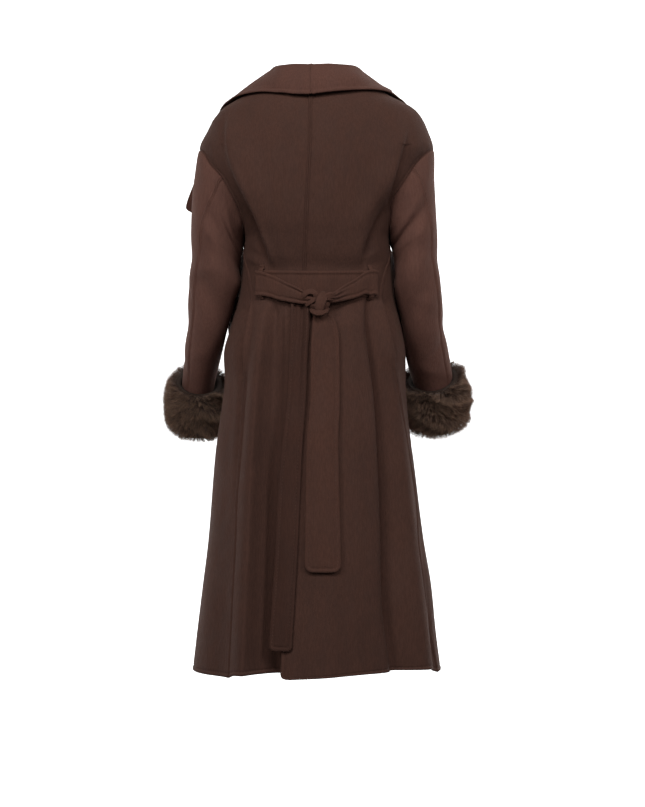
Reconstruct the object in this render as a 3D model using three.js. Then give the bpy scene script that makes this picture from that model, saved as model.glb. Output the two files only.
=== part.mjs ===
// A long chocolate wool wrap coat with fur cuffs, worn and tied at the back with its own belt.
// Millimetres, +Z up. The back of the coat faces -Y, so +X is the wearer's right side.
// The origin lies between the shoulders, where the coat is carried.

import * as THREE from 'three';

// Driving dimensions
const CLOTH = 2.5; // wall of the double-faced wool
const SEAM_GAP = 0.3; // between pieces that are sewn together
const NECK_Z = 33; // the shoulder seam's end at the neck
const NAPE_DROP = 15; // how much lower the neckline is at the nape
const ARMHOLE_TOP_Z = -105;
const UNDERARM_Z = -278;
const WAIST_Z = -366;
const VENT_TOP_Z = -695;
const HEM_Z = -1100;
const ROUNDNESS = 2.3; // exponent of the rounded sections, 2 is an ellipse
const OVERLAP_LIFT = 6; // the upper front lies this far out over the lower one
const BELT_HEIGHT = 48;
const BELT_GAP = 0.6;

const COLOURS = {
  wool: 0x4c352e,
  collar: 0x583d36,
  sleeve: 0x523a33,
  belt: 0x49302a,
  fur: 0x382a26,
};

const radians = THREE.MathUtils.degToRad;
const smooth = (x, from, to) => THREE.MathUtils.smoothstep(x, from, to);
const mix = THREE.MathUtils.lerp;
const range = (count) => Array.from({ length: count }, (_, k) => k);

// A curve through values at given places, which never overshoots them.
function smoothCurve(places, values) {
  const order = range(places.length).sort((a, b) => places[a] - places[b]);
  const x = order.map((k) => places[k]);
  const y = order.map((k) => values[k]);
  const last = x.length - 1;
  const step = range(last).map((k) => (y[k + 1] - y[k]) / (x[k + 1] - x[k]));
  const slope = x.map((_, k) => {
    if (k === 0) return step[0];
    if (k === last) return step[last - 1];
    return step[k - 1] * step[k] <= 0 ? 0 : (2 * step[k - 1] * step[k]) / (step[k - 1] + step[k]);
  });
  return (at) => {
    if (at <= x[0]) return y[0];
    if (at >= x[last]) return y[last];
    let k = 0;
    while (at > x[k + 1]) k += 1;
    const span = x[k + 1] - x[k];
    const t = (at - x[k]) / span;
    const rise = y[k + 1] - y[k];
    const a = span * slope[k] - rise;
    const b = rise - span * slope[k + 1];
    return y[k] + t * rise + t * (1 - t) * (a * (1 - t) + b * t);
  };
}

// A table has named columns. Its first column is the place that the others are read at.
function table(columns, rows) {
  const curves = {};
  columns.slice(1).forEach((name, k) => {
    curves[name] = smoothCurve(rows.map((row) => row[0]), rows.map((row) => row[k + 1]));
  });
  return curves;
}

// Half widths and depths of the coat's body, outside, by height
const BODY = table(['z', 'left', 'right', 'back', 'front'], [
  [33, 66, 66, 50, 50],
  [22, 87, 91, 60, 59],
  [12, 106, 113, 68, 65],
  [2, 126, 133, 77, 71],
  [-8, 147, 151, 84, 78],
  [-18, 164, 172, 91, 84],
  [-29, 180, 189, 97, 90],
  [-45, 193, 202, 104, 98],
  [-68, 206, 213, 112, 107],
  [-105, 222, 224, 121, 119],
  [-136, 216, 208, 126, 126],
  [-165, 203, 198, 128, 130],
  [-195, 186, 179, 129, 132],
  [-224, 163, 158, 128, 132],
  [-250, 147, 148, 125, 130],
  [-278, 137, 141, 119, 126],
  [-312, 139, 143, 112, 119],
  [-340, 141, 145, 104, 113],
  [-392, 148, 150, 105, 113],
  [-450, 165, 164, 123, 126],
  [-500, 177, 172, 130, 131],
  [-545, 175, 172, 135, 135],
  [-600, 181, 175, 141, 140],
  [-690, 193, 186, 147, 146],
  [-850, 206, 206, 155, 153],
  [-940, 217, 221, 160, 157],
  [-1030, 228, 230, 165, 160],
  [-1100, 236, 239, 168, 162],
]);

// Where the armhole seams run, as half widths of the panels
const ARMHOLE = table(['z', 'leftBack', 'leftFront', 'rightBack', 'rightFront'], [
  [-105, 222, 222, 224, 224],
  [-115, 213, 214, 210, 212],
  [-136, 201, 202, 190, 192],
  [-165, 177, 179, 171, 173],
  [-195, 161, 163, 153, 156],
  [-224, 147, 148, 142, 144],
  [-250, 138, 139, 139, 140],
  [-278, 137, 137, 141, 141],
]);

// The side seams, in degrees round from the centre back
const SIDE_SEAM = table(['z', 'left', 'right'], [
  [-278, 90, 90],
  [-312, 79, 79],
  [-345, 68.5, 68],
  [-390, 61.8, 61.5],
  [-450, 57, 59],
  [-526, 55, 61],
  [-611, 53, 66],
  [-718, 51, 73.5],
  [-774, 51, 76],
  [-870, 50, 69],
  [-954, 49.5, 69.5],
  [-1016, 49, 73.5],
  [-1100, 48.7, 76],
]);

// The centre back seam swings to the left towards the hem
const CENTRE_BACK = table(['z', 'x'], [
  [18, -10],
  [-100, -11],
  [-182, -15],
  [-345, -22],
  [-600, -38],
  [-850, -51],
  [-1100, -62],
]);

// The fronts' edges, in degrees round from the centre back, past 180 where they overlap
const FRONT_EDGE = table(['z', 'turn'], [
  [33, 97],
  [12, 114],
  [-18, 129],
  [-68, 144],
  [-136, 156],
  [-224, 169],
  [-290, 180],
  [-345, 194],
  [-450, 206],
  [-1100, 207],
]);

// The largest folds of the skirt and the back. A positive amount stands out, a negative one is a trough.
// Widths are of the left and right flank, and lean moves the crest to the right.
const FOLD_COLUMNS = ['z', 'x', 'out', 'leftWidth', 'rightWidth', 'lean'];
const FOLDS = [
  { name: 'left deep fold', front: false, ...table(FOLD_COLUMNS, [
    [-394, -91, 0, 18, 12, 0],
    [-430, -94, 9, 22, 12, 2],
    [-547, -102, 17, 28, 14, 4],
    [-674, -108, 23, 32, 15, 6],
    [-883, -115, 29, 34, 16, 8],
    [-1100, -120, 35, 36, 17, 9],
  ]) },
  { name: 'recess beside the deep fold', front: false, leftPanel: true, ...table(FOLD_COLUMNS, [
    [-395, -72, 0, 12, 20, 0],
    [-450, -70, -7, 14, 20, 0],
    [-600, -72, -13, 15, 18, 0],
    [-760, -76, -20, 17, 34, 0],
    [-1100, -82, -27, 18, 60, 0],
  ]) },
  { name: 'centre swell', front: false, ...table(FOLD_COLUMNS, [
    [-420, 28, 0, 40, 40, 0],
    [-650, 26, 10, 54, 52, 0],
    [-900, 22, 22, 66, 62, 0],
    [-1100, 17, 31, 74, 68, 0],
  ]) },
  { name: 'right valley', front: false, ...table(FOLD_COLUMNS, [
    [-394, 100, 0, 14, 14, 0],
    [-450, 106, -9, 16, 16, 0],
    [-591, 127, -15, 18, 19, 0],
    [-810, 141, -20, 21, 22, 0],
    [-962, 146, -23, 22, 23, 0],
    [-1100, 165, -25, 24, 22, 0],
  ]) },
  { name: 'ridge right of the valley', front: false, ...table(FOLD_COLUMNS, [
    [-400, 124, 0, 14, 18, 0],
    [-600, 152, 7, 16, 24, 0],
    [-850, 176, 9, 18, 26, 0],
    [-1100, 202, 12, 20, 28, 0],
  ]) },
  { name: 'small fold by the left pocket', front: false, ...table(FOLD_COLUMNS, [
    [-395, -114, 0, 9, 9, 0],
    [-450, -122, -5, 10, 10, 0],
    [-600, -132, -5, 12, 12, 0],
    [-760, -136, 0, 12, 12, 0],
  ]) },
  { name: 'left back drape', front: false, ...table(FOLD_COLUMNS, [
    [-45, -160, 0, 20, 22, 0],
    [-98, -156, 8, 20, 26, 0],
    [-144, -142, 12, 20, 28, 0],
    [-194, -121, 13, 20, 30, 0],
    [-260, -93, 10, 20, 28, 0],
    [-320, -78, 3, 18, 24, 0],
    [-340, -74, 0, 18, 22, 0],
  ]) },
  { name: 'left back trough', front: false, ...table(FOLD_COLUMNS, [
    [-120, -172, 0, 17, 17, 0],
    [-194, -144, -4, 17, 17, 0],
    [-260, -116, -7, 18, 17, 0],
    [-320, -100, -3, 18, 17, 0],
    [-340, -96, 0, 18, 17, 0],
  ]) },
  { name: 'right back drape', front: false, ...table(FOLD_COLUMNS, [
    [-60, 158, 0, 22, 19, 0],
    [-120, 148, 8, 24, 19, 0],
    [-190, 124, 10, 26, 19, 0],
    [-255, 88, 8, 26, 19, 0],
    [-320, 74, 3, 24, 18, 0],
    [-340, 70, 0, 24, 18, 0],
  ]) },
  { name: 'right back trough', front: false, ...table(FOLD_COLUMNS, [
    [-150, 148, 0, 17, 17, 0],
    [-240, 116, -6, 17, 17, 0],
    [-300, 98, -5, 17, 17, 0],
    [-340, 92, 0, 17, 17, 0],
  ]) },
  { name: 'left side swell behind the sleeve', front: true, ...table(FOLD_COLUMNS, [
    [-286, -128, 3, 20, 20, 0],
    [-310, -131, 17, 21, 21, 0],
    [-345, -134, 22, 22, 22, 0],
    [-392, -140, 24, 23, 22, 0],
    [-430, -150, 15, 22, 22, 0],
    [-480, -162, 0, 20, 20, 0],
  ]) },
  { name: 'right side swell behind the sleeve', front: true, ...table(FOLD_COLUMNS, [
    [-286, 131, 3, 20, 20, 0],
    [-310, 134, 17, 21, 21, 0],
    [-345, 138, 22, 22, 22, 0],
    [-392, 142, 23, 22, 23, 0],
    [-430, 150, 15, 22, 22, 0],
    [-480, 160, 0, 20, 20, 0],
  ]) },
  { name: 'left front swell', front: true, ...table(FOLD_COLUMNS, [
    [-420, -70, 0, 34, 34, 0],
    [-700, -92, 9, 44, 40, 0],
    [-1100, -112, 22, 52, 46, 0],
  ]) },
  { name: 'left front valley', front: true, ...table(FOLD_COLUMNS, [
    [-400, -116, 0, 20, 20, 0],
    [-600, -150, -9, 24, 24, 0],
    [-1100, -182, -19, 28, 28, 0],
  ]) },
  { name: 'right front valley', front: true, ...table(FOLD_COLUMNS, [
    [-400, 72, 0, 22, 22, 0],
    [-650, 92, -10, 26, 26, 0],
    [-1100, 112, -20, 32, 32, 0],
  ]) },
  { name: 'right front swell', front: true, ...table(FOLD_COLUMNS, [
    [-430, 128, 0, 26, 26, 0],
    [-700, 154, 8, 34, 30, 0],
    [-1100, 178, 17, 40, 34, 0],
  ]) },
];

// How far the section reaches from the axis, in the direction theta round from the centre back
function reach(theta, z) {
  const side = Math.sin(theta) < 0 ? BODY.left(z) : BODY.right(z);
  const depth = Math.cos(theta) > 0 ? BODY.back(z) : BODY.front(z);
  const across = Math.abs(Math.sin(theta) / side) ** ROUNDNESS;
  const along = Math.abs(Math.cos(theta) / depth) ** ROUNDNESS;
  return (across + along) ** (-1 / ROUNDNESS);
}

// The direction in which the back or the front of the section stands at x
function thetaAt(x, z, front = false) {
  const turned = (a) => (front ? Math.PI - a : a);
  let low = -Math.PI / 2;
  let high = Math.PI / 2;
  for (let k = 0; k < 36; k += 1) {
    const middle = (low + high) / 2;
    if (reach(turned(middle), z) * Math.sin(middle) < x) low = middle;
    else high = middle;
  }
  return turned((low + high) / 2);
}

const wrapAngle = (a) => Math.atan2(Math.sin(a), Math.cos(a));

// How far the folds move the cloth out, and along it to the right. Past the vent's top only the left
// half follows the recess beside the deep fold.
function foldsAt(theta, z, leftPanel) {
  let out = 0;
  let lean = 0;
  for (const fold of FOLDS) {
    const kept = fold.leftPanel && !leftPanel ? 1 - smooth(-z, 560, -VENT_TOP_Z) : 1;
    const amount = fold.out(z) * kept;
    if (amount === 0) continue;
    const crest = thetaAt(fold.x(z), z, fold.front);
    const away = wrapAngle(theta - crest) * reach(crest, z);
    const width = (away < 0) === !fold.front ? fold.leftWidth(z) : fold.rightWidth(z);
    const share = Math.exp(-((away / width) ** 2));
    out += amount * share;
    lean += fold.lean(z) * share;
  }
  return { out, lean };
}

// The hem vent: the left half passes under the right one
const VENT_UNDERLAP = 45;
const ventDepth = (z) => mix(0, 4.2, smooth(-z, -VENT_TOP_Z - 45, -VENT_TOP_Z)) + 7 * smooth(-z, 760, 1100);
const ventUnderlap = (z) => VENT_UNDERLAP * smooth(-z, -VENT_TOP_Z, -VENT_TOP_Z + 40);

// The outside of the cloth. The option says whose cloth it is, where pieces lie on each other.
function coat(theta, z, { leftBack = false, extra = 0 } = {}) {
  const folds = foldsAt(theta, z, leftBack);
  let r = reach(theta, z) + folds.out + extra;
  if (leftBack) {
    const centre = thetaAt(CENTRE_BACK.x(z), z);
    const away = (centre - theta) * r;
    r -= ventDepth(z) * (1 - smooth(away, 0, 40));
  }
  return new THREE.Vector3(
    r * Math.sin(theta) + folds.lean * Math.cos(theta),
    -r * Math.cos(theta) + folds.lean * Math.sin(theta),
    z,
  );
}

// The direction out of a surface given by two numbers
function normalOf(surface, a, b, stepA, stepB) {
  const alongA = surface(a + stepA, b).sub(surface(a - stepA, b));
  const alongB = surface(a, b + stepB).sub(surface(a, b - stepB));
  return alongA.cross(alongB).normalize();
}

const coatNormal = (theta, z, cloth) => normalOf((a, b) => coat(a, b, cloth), theta, z, 0.004, 0.6);

// Rows of the panels: the shoulder, the armhole, the side. Armhole rows are shared with the sleeve's columns.
const ARMHOLE_TURNS = [0, 26, 50, 72, 92, 112, 132, 154, 180];
const ARMHOLE_MIDDLE = (ARMHOLE_TOP_Z + UNDERARM_Z) / 2;
const ARMHOLE_HALF = (ARMHOLE_TOP_Z - UNDERARM_Z) / 2;
const armholeZ = (turn) => ARMHOLE_MIDDLE + ARMHOLE_HALF * Math.cos(radians(turn));
const SHOULDER_ROWS = [NECK_Z, 23, 11, -3, -19, -40, -70];
const WAIST_ROWS = [-312, -340, WAIST_Z, -392, -412, -434, -462];
const SKIRT_ROWS = [-505, -560, -630, VENT_TOP_Z, -735, -810, -900, -1000, HEM_Z];
const ROWS = [
  ...SHOULDER_ROWS.map((z) => ({ z })),
  ...ARMHOLE_TURNS.map((turn) => ({ z: armholeZ(turn), armhole: turn })),
  ...[...WAIST_ROWS, ...SKIRT_ROWS].map((z) => ({ z })),
];

// A panel's outer edge: the shoulder seam, then the armhole, then the side seam
function outerEdge(row, side, front) {
  const sign = side === 'left' ? -1 : 1;
  if (row.z > ARMHOLE_TOP_Z) return (sign * Math.PI) / 2;
  if (row.z < UNDERARM_Z - 0.01) return sign * radians(SIDE_SEAM[side](row.z));
  if (row.armhole === 0 || row.armhole === 180) return (sign * Math.PI) / 2;
  const seam = ARMHOLE[side + (front ? 'Front' : 'Back')];
  const theta = thetaAt(sign * seam(row.z), row.z, front);
  return front ? sign * Math.abs(wrapAngle(theta)) : theta;
}

// Sleeves: each ring from its outermost to its innermost point, the arm's depth, and how the seams twist
const SLEEVE_COLUMNS = ['ring', 'outX', 'outZ', 'inX', 'inZ', 'y', 'depth', 'tilt', 'twist'];
const SLEEVES = {
  left: table(SLEEVE_COLUMNS, [
    [0, 223, -105, 138, -278, 2, 76, 0, 0],
    [1, 229, -135, 141, -288, 1, 75, 0, 8],
    [2, 236, -180, 143, -304, -1, 72, 0, 18],
    [3, 239, -235, 145, -328, -3, 69, 0, 27],
    [4, 241, -298, 148, -362, -3, 66, 2, 36],
    [5, 244, -352, 156, -397, 4, 63, 7, 46],
    [6, 249, -420, 169, -447, 22, 59, 15, 55],
    [7, 255, -482, 184, -500, 50, 54, 22, 60],
    [8, 260, -532, 196, -545, 76, 50, 26, 62],
    [9, 265, -570, 204, -580, 94, 48, 26, 62],
  ]),
  right: table(SLEEVE_COLUMNS, [
    [0, 225, -105, 142, -278, 2, 76, 0, 0],
    [1, 226, -130, 145, -288, 1, 75, 0, 10],
    [2, 228, -180, 148, -304, -1, 72, 0, 26],
    [3, 231, -236, 150, -328, -3, 69, 0, 39],
    [4, 235, -300, 152, -362, -3, 66, 2, 50],
    [5, 240, -360, 158, -397, 4, 63, 7, 58],
    [6, 247, -425, 169, -447, 22, 59, 15, 64],
    [7, 256, -482, 182, -500, 50, 54, 22, 66],
    [8, 265, -528, 194, -545, 76, 50, 26, 66],
    [9, 271, -566, 203, -580, 94, 48, 26, 66],
  ]),
};
const SLEEVE_RINGS = [0, 0.5, 1, 1.7, 2.4, 3.2, 4, 4.8, 5.6, 6.4, 7.3, 8.2, 9];

// Soft creases round the sleeves: where they lie along and round the arm, and their slope
const SLEEVE_CREASE_COLUMNS = ['ring', 'turn', 'slope', 'out', 'along', 'round'];
const SLEEVE_CREASES = [
  [2.6, 120, 0.9, -5, 0.5, 60],
  [3.9, 60, -0.8, -4, 0.45, 60],
  [5.0, 110, 0.8, -4.5, 0.4, 70],
  [6.2, 40, -0.7, -4, 0.4, 60],
  [4.6, 270, 0.6, -5, 0.4, 60],
  [5.6, 300, -0.6, -4.5, 0.4, 60],
].map((row) => Object.fromEntries(SLEEVE_CREASE_COLUMNS.map((name, k) => [name, row[k]])));

// The armhole's seam, turning from its top over the back to the underarm and up the front
function armholePoint(side, turn) {
  const sign = side === 'left' ? -1 : 1;
  const front = turn > 180;
  const row = { z: armholeZ(turn), armhole: front ? 360 - turn : turn };
  const theta = outerEdge(row, side, front);
  return { theta, z: row.z, point: coat(theta, row.z), sign };
}

function sleevePoint(side, turn, ring) {
  const rings = SLEEVES[side];
  const sign = side === 'left' ? -1 : 1;
  const a = radians(turn - rings.twist(ring));
  const tilt = radians(rings.tilt(ring));
  const outer = new THREE.Vector3(sign * rings.outX(ring), rings.y(ring), rings.outZ(ring));
  const inner = new THREE.Vector3(sign * rings.inX(ring), rings.y(ring), rings.inZ(ring));
  const centre = outer.clone().add(inner).multiplyScalar(0.5);
  const across = outer.sub(inner).multiplyScalar(0.5);
  const forward = new THREE.Vector3(0, Math.cos(tilt), Math.sin(tilt)).multiplyScalar(rings.depth(ring));
  const spoke = across.multiplyScalar(Math.cos(a)).addScaledVector(forward, -Math.sin(a));
  let crease = 0;
  for (const fold of SLEEVE_CREASES) {
    const round = wrapAngle(radians(turn - fold.turn)) * (180 / Math.PI);
    const along = (ring - fold.ring - (fold.slope * round) / 90) / fold.along;
    crease += fold.out * Math.exp(-(along ** 2) - (round / fold.round) ** 2);
  }
  const point = centre.add(spoke).addScaledVector(spoke.clone().normalize(), crease);
  const onSeam = 1 - smooth(ring, 0, 1.6);
  if (onSeam === 0) return point;
  return point.lerp(armholePoint(side, ((turn % 360) + 360) % 360).point, onSeam);
}

function sleeveNormal(side, turn, ring) {
  const n = normalOf((a, b) => sleevePoint(side, a, b), turn, Math.max(ring, 0.25), 2, 0.2);
  return side === 'left' ? n.negate() : n;
}

// Where two pieces meet at an open angle they share an edge direction, so that their walls meet square
function seamNormal(own, other) {
  const share = smooth(own.dot(other), 0.1, 0.7);
  return own.clone().addScaledVector(other, share).normalize();
}

function solid(name, positions, index, color, roughness = 0.95) {
  const geometry = new THREE.BufferGeometry();
  geometry.setAttribute('position', new THREE.Float32BufferAttribute(positions, 3));
  geometry.setIndex(index);
  geometry.computeVertexNormals();
  const mesh = new THREE.Mesh(geometry, new THREE.MeshStandardMaterial({ color, roughness, metalness: 0 }));
  mesh.name = name;
  return mesh;
}

// A piece of cloth: a closed wall inside a grid of points, each with its direction out
function wall(name, grid, colour, { thickness = CLOTH } = {}) {
  const rows = grid.length;
  const columns = grid[0].length;
  const positions = [];
  const layer = (depth) => grid.forEach((row) => row.forEach(({ p, n }) => {
    positions.push(p.x - n.x * depth, p.y - n.y * depth, p.z - n.z * depth);
  }));
  layer(0);
  layer(thickness);
  const index = [];
  const at = (i, j, inside) => (inside ? rows * columns : 0) + i * columns + j;
  const quad = (a, b, c, d) => index.push(a, b, c, a, c, d);
  const across = grid[0][1].p.clone().sub(grid[0][0].p);
  const down = grid[1][0].p.clone().sub(grid[0][0].p);
  const flip = down.cross(across).dot(grid[0][0].n) < 0;
  const face = (a, b, c, d) => (flip ? quad(a, d, c, b) : quad(a, b, c, d));
  const spans = columns - 1;
  range(rows - 1).forEach((i) => range(spans).forEach((j) => {
    face(at(i, j), at(i + 1, j), at(i + 1, j + 1), at(i, j + 1));
    face(at(i, j, 1), at(i, j + 1, 1), at(i + 1, j + 1, 1), at(i + 1, j, 1));
  }));
  range(spans).forEach((j) => {
    face(at(0, j, 1), at(0, j), at(0, j + 1), at(0, j + 1, 1));
    face(at(rows - 1, j), at(rows - 1, j, 1), at(rows - 1, j + 1, 1), at(rows - 1, j + 1));
  });
  range(rows - 1).forEach((i) => {
    face(at(i, 0, 1), at(i + 1, 0, 1), at(i + 1, 0), at(i, 0));
    face(at(i, spans, 1), at(i, spans), at(i + 1, spans), at(i + 1, spans, 1));
  });
  return solid(name, positions, index, colour);
}

// The directions out of a grid of points, from its own lines
function gridNormals(grid, reversed) {
  const rows = grid.length - 1;
  const columns = grid[0].length - 1;
  grid.forEach((row, i) => row.forEach((cell, j) => {
    const along = grid[Math.min(i + 1, rows)][j].p.clone().sub(grid[Math.max(i - 1, 0)][j].p);
    const across = grid[i][Math.min(j + 1, columns)].p.clone().sub(grid[i][Math.max(j - 1, 0)].p);
    cell.n = along.cross(across).normalize();
    if (reversed) cell.n.negate();
  }));
}

// Draw a piece's edges in by half the seam gap. Each edge moves towards the next line of points.
function drawIn(grid, edges) {
  const half = SEAM_GAP / 2;
  const pull = (edge, next) => edge.p.add(next.p.clone().sub(edge.p).setLength(half));
  const last = grid.length - 1;
  const end = grid[0].length - 1;
  if (edges.includes('first')) grid.forEach((row) => pull(row[0], row[1]));
  if (edges.includes('last')) grid.forEach((row) => pull(row[end], row[end - 1]));
  if (edges.includes('top')) grid[0].forEach((cell, j) => pull(cell, grid[1][j]));
  if (edges.includes('bottom')) grid[last].forEach((cell, j) => pull(cell, grid[last - 1][j]));
  return grid;
}

// A cell of a panel, which knows the sleeve beside it where it lies on the armhole
function panelCell(side, front, row, u, theta, z, cloth) {
  const n = coatNormal(theta, z, cloth);
  if (u === 1 && row.armhole !== undefined && row.armhole < 180) {
    const turn = front ? (360 - row.armhole) % 360 : row.armhole;
    return { p: coat(theta, z, cloth), n: seamNormal(n, sleeveNormal(side, turn, 0)) };
  }
  return { p: coat(theta, z, cloth), n };
}

const BACK_SPANS = { left: 16, right: 22 };

function backPanel(side) {
  const leftBack = side === 'left';
  const grid = ROWS.map((row) => {
    const drop = NAPE_DROP * Math.max(0, (row.z + 65) / (NECK_Z + 65)) ** 2;
    const centreZ = row.z - drop;
    const spread = leftBack ? ventUnderlap(row.z) : 0;
    const centre = thetaAt(CENTRE_BACK.x(centreZ) + spread, centreZ);
    const edge = outerEdge(row, side, false);
    return range(BACK_SPANS[side] + 1).map((k) => {
      const u = k / BACK_SPANS[side];
      const z = centreZ + drop * u * u;
      const theta = mix(centre, edge, u);
      return panelCell(side, false, row, u, theta, z, { leftBack });
    });
  });
  return wall(`back_${side}`, drawIn(grid, ['first', 'last']), COLOURS.wool);
}

const FRONT_SPANS = { left: 17, right: 17 };
const frontLift = (side, theta) => (
  side === 'right' ? OVERLAP_LIFT * smooth(Math.abs(theta), radians(120), radians(150)) : 0
);

function frontTheta(side, row, u) {
  const sign = side === 'left' ? -1 : 1;
  const outer = Math.abs(outerEdge(row, side, true));
  return sign * mix(outer, radians(FRONT_EDGE.turn(row.z)), 1 - u);
}

function frontPanel(side) {
  const grid = ROWS.map((row) => range(FRONT_SPANS[side] + 1).map((k) => {
    const u = 1 - k / FRONT_SPANS[side];
    const theta = frontTheta(side, row, u);
    return panelCell(side, true, row, u, theta, row.z, { extra: frontLift(side, theta) });
  }));
  return wall(`front_${side}`, drawIn(grid, ['last']), COLOURS.wool);
}

// A sleeve has a back seam and a front seam. The upper piece faces out, the under piece faces the body.
const BACK_SEAM_TURN = 72;
const FRONT_SEAM_TURN = 288;
const TURNS = [...ARMHOLE_TURNS, ...ARMHOLE_TURNS.slice(1, -1).reverse().map((turn) => 360 - turn)];

function sleevePiece(side, part) {
  const under = TURNS.filter((turn) => turn >= BACK_SEAM_TURN && turn <= FRONT_SEAM_TURN);
  const upper = [
    ...TURNS.filter((turn) => turn >= FRONT_SEAM_TURN).map((turn) => turn - 360),
    ...TURNS.filter((turn) => turn <= BACK_SEAM_TURN),
  ];
  const grid = SLEEVE_RINGS.map((ring) => (part === 'upper' ? upper : under).map((turn) => {
    const n = sleeveNormal(side, turn, ring);
    const p = sleevePoint(side, turn, ring);
    if (ring > 0) return { p, n };
    const seam = armholePoint(side, ((turn % 360) + 360) % 360);
    const body = coatNormal(seam.theta, seam.z);
    const away = sleevePoint(side, turn, 0.5).sub(p).setLength(SEAM_GAP);
    return { p: p.add(away).addScaledVector(body, 0.4), n: seamNormal(n, body) };
  }));
  return wall(`sleeve_${part}_${side}`, drawIn(grid, ['first', 'last']), COLOURS.sleeve);
}

// Fur cuffs: a profile of how far the fur stands off the sleeve, from its upper end to the opening
const CUFF_PROFILE = [
  { along: 0, out: 2 },
  { along: 0.02, out: 14 },
  { along: 0.1, out: 23 },
  { along: 0.25, out: 29 },
  { along: 0.5, out: 31 },
  { along: 0.75, out: 29 },
  { along: 0.9, out: 23 },
  { along: 1, out: 14 },
  { along: 0.98, out: 5 },
  { along: 0.9, out: 2 },
  { along: 0.5, out: 1 },
];
const CUFFS = {
  left: { topX: -226, topY: 70, topZ: -524, endX: -237, endY: 124, endZ: -642, halfWidth: 35.2, halfDepth: 53.8 },
  right: { topX: 223, topY: 68, topZ: -516, endX: 243, endY: 124, endZ: -634, halfWidth: 39, halfDepth: 56 },
};
const CUFF_SPANS = 22;

function cuff(side) {
  const size = CUFFS[side];
  const top = new THREE.Vector3(size.topX, size.topY, size.topZ);
  const end = new THREE.Vector3(size.endX, size.endY, size.endZ);
  const axis = end.clone().sub(top).normalize();
  const across = new THREE.Vector3(1, 0, 0).addScaledVector(axis, -axis.x).normalize();
  const forward = new THREE.Vector3().crossVectors(axis, across).normalize();
  const positions = [];
  CUFF_PROFILE.forEach(({ along, out }) => range(CUFF_SPANS).forEach((k) => {
    const a = (2 * Math.PI * k) / CUFF_SPANS;
    const point = top.clone().lerp(end, along)
      .addScaledVector(across, (size.halfWidth + out) * Math.cos(a))
      .addScaledVector(forward, (size.halfDepth + out) * Math.sin(a));
    positions.push(point.x, point.y, point.z);
  }));
  const index = [];
  const loops = CUFF_PROFILE.length;
  range(loops).forEach((i) => range(CUFF_SPANS).forEach((k) => {
    const a = i * CUFF_SPANS + k;
    const b = i * CUFF_SPANS + ((k + 1) % CUFF_SPANS);
    const c = ((i + 1) % loops) * CUFF_SPANS + ((k + 1) % CUFF_SPANS);
    const d = ((i + 1) % loops) * CUFF_SPANS + k;
    index.push(a, b, c, a, c, d);
  }));
  return solid(`cuff_${side}`, positions, index, COLOURS.fur, 1);
}

// The shawl collar's sections, from the centre back round the neck and down the front edge.
// A section starts on the neckline or, past the shoulder, on the front edge at height z. It stands up by
// rise, rolls over and falls to its outer edge at x, y, edgeZ. Bulge lifts the middle of the fall.
// The rows are: 0 centre back, 2 back corner, 4 shoulder, 6 collar bone, 9 the lapel's tip, 12 its end.
const COLLAR_COLUMNS = ['section', 'z', 'rise', 'x', 'y', 'edgeZ', 'bulge'];
const COLLARS = {
  left: table(COLLAR_COLUMNS, [
    [0, 33, 32, -12, -101, -11, 6],
    [1, 33, 32, -40, -96, -10, 6],
    [2, 33, 29, -68, -86, -6, 6],
    [3, 33, 25, -100, -68, -5, 5],
    [4, 33, 18, -142, -40, -7, 4],
    [5, 27, 16, -176, 2, -16, 4],
    [6, 8, 12, -192, 38, -38, 5],
    [7, -30, 9, -212, 68, -88, 6],
    [8, -80, 8, -234, 90, -146, 6],
    [9, -130, 8, -256, 106, -206, 6],
    [10, -170, 8, -196, 126, -228, 5],
    [11, -208, 7, -122, 139, -246, 4],
    [12, -240, 6, -52, 145, -262, 2],
  ]),
  right: table(COLLAR_COLUMNS, [
    [0, 33, 32, -8, -101, -11, 6],
    [1, 33, 32, 26, -97, -6, 6],
    [2, 33, 29, 60, -88, -2, 6],
    [3, 33, 25, 92, -71, 1, 5],
    [4, 33, 18, 124, -46, -1, 4],
    [5, 27, 16, 156, -4, -4, 4],
    [6, 8, 12, 176, 36, -30, 5],
    [7, -30, 9, 192, 70, -84, 6],
    [8, -80, 8, 204, 95, -142, 6],
    [9, -140, 8, 214, 117, -200, 6],
    [10, -190, 8, 168, 137, -232, 5],
    [11, -240, 7, 110, 147, -266, 4],
    [12, -292, 6, 44, 143, -320, 2],
  ]),
};
const COLLAR_SHOULDER = 4;
const COLLAR_END = 12;
const COLLAR_SPANS = 22;
const COLLAR_STEPS = [0, 0.08, 0.16, 0.22, 0.28, 0.36, 0.5, 0.66, 0.83, 1];
const COLLAR_CLEARANCE = 7.3; // from the coat's outside to the fall's outside

// A point moved out until it stands clear of the coat's body
function clearOfCoat(point, clearance) {
  if (point.z > NECK_Z) return point;
  for (let k = 0; k < 4; k += 1) {
    const theta = Math.atan2(point.x, -point.y);
    const n = coatNormal(theta, point.z);
    const outward = new THREE.Vector3(Math.sin(theta), -Math.cos(theta), 0).dot(n);
    const surface = coat(theta, point.z);
    const depth = (Math.hypot(point.x, point.y) - Math.hypot(surface.x, surface.y)) * outward;
    if (depth < clearance) point.addScaledVector(n, clearance - depth);
  }
  return point;
}

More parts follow.
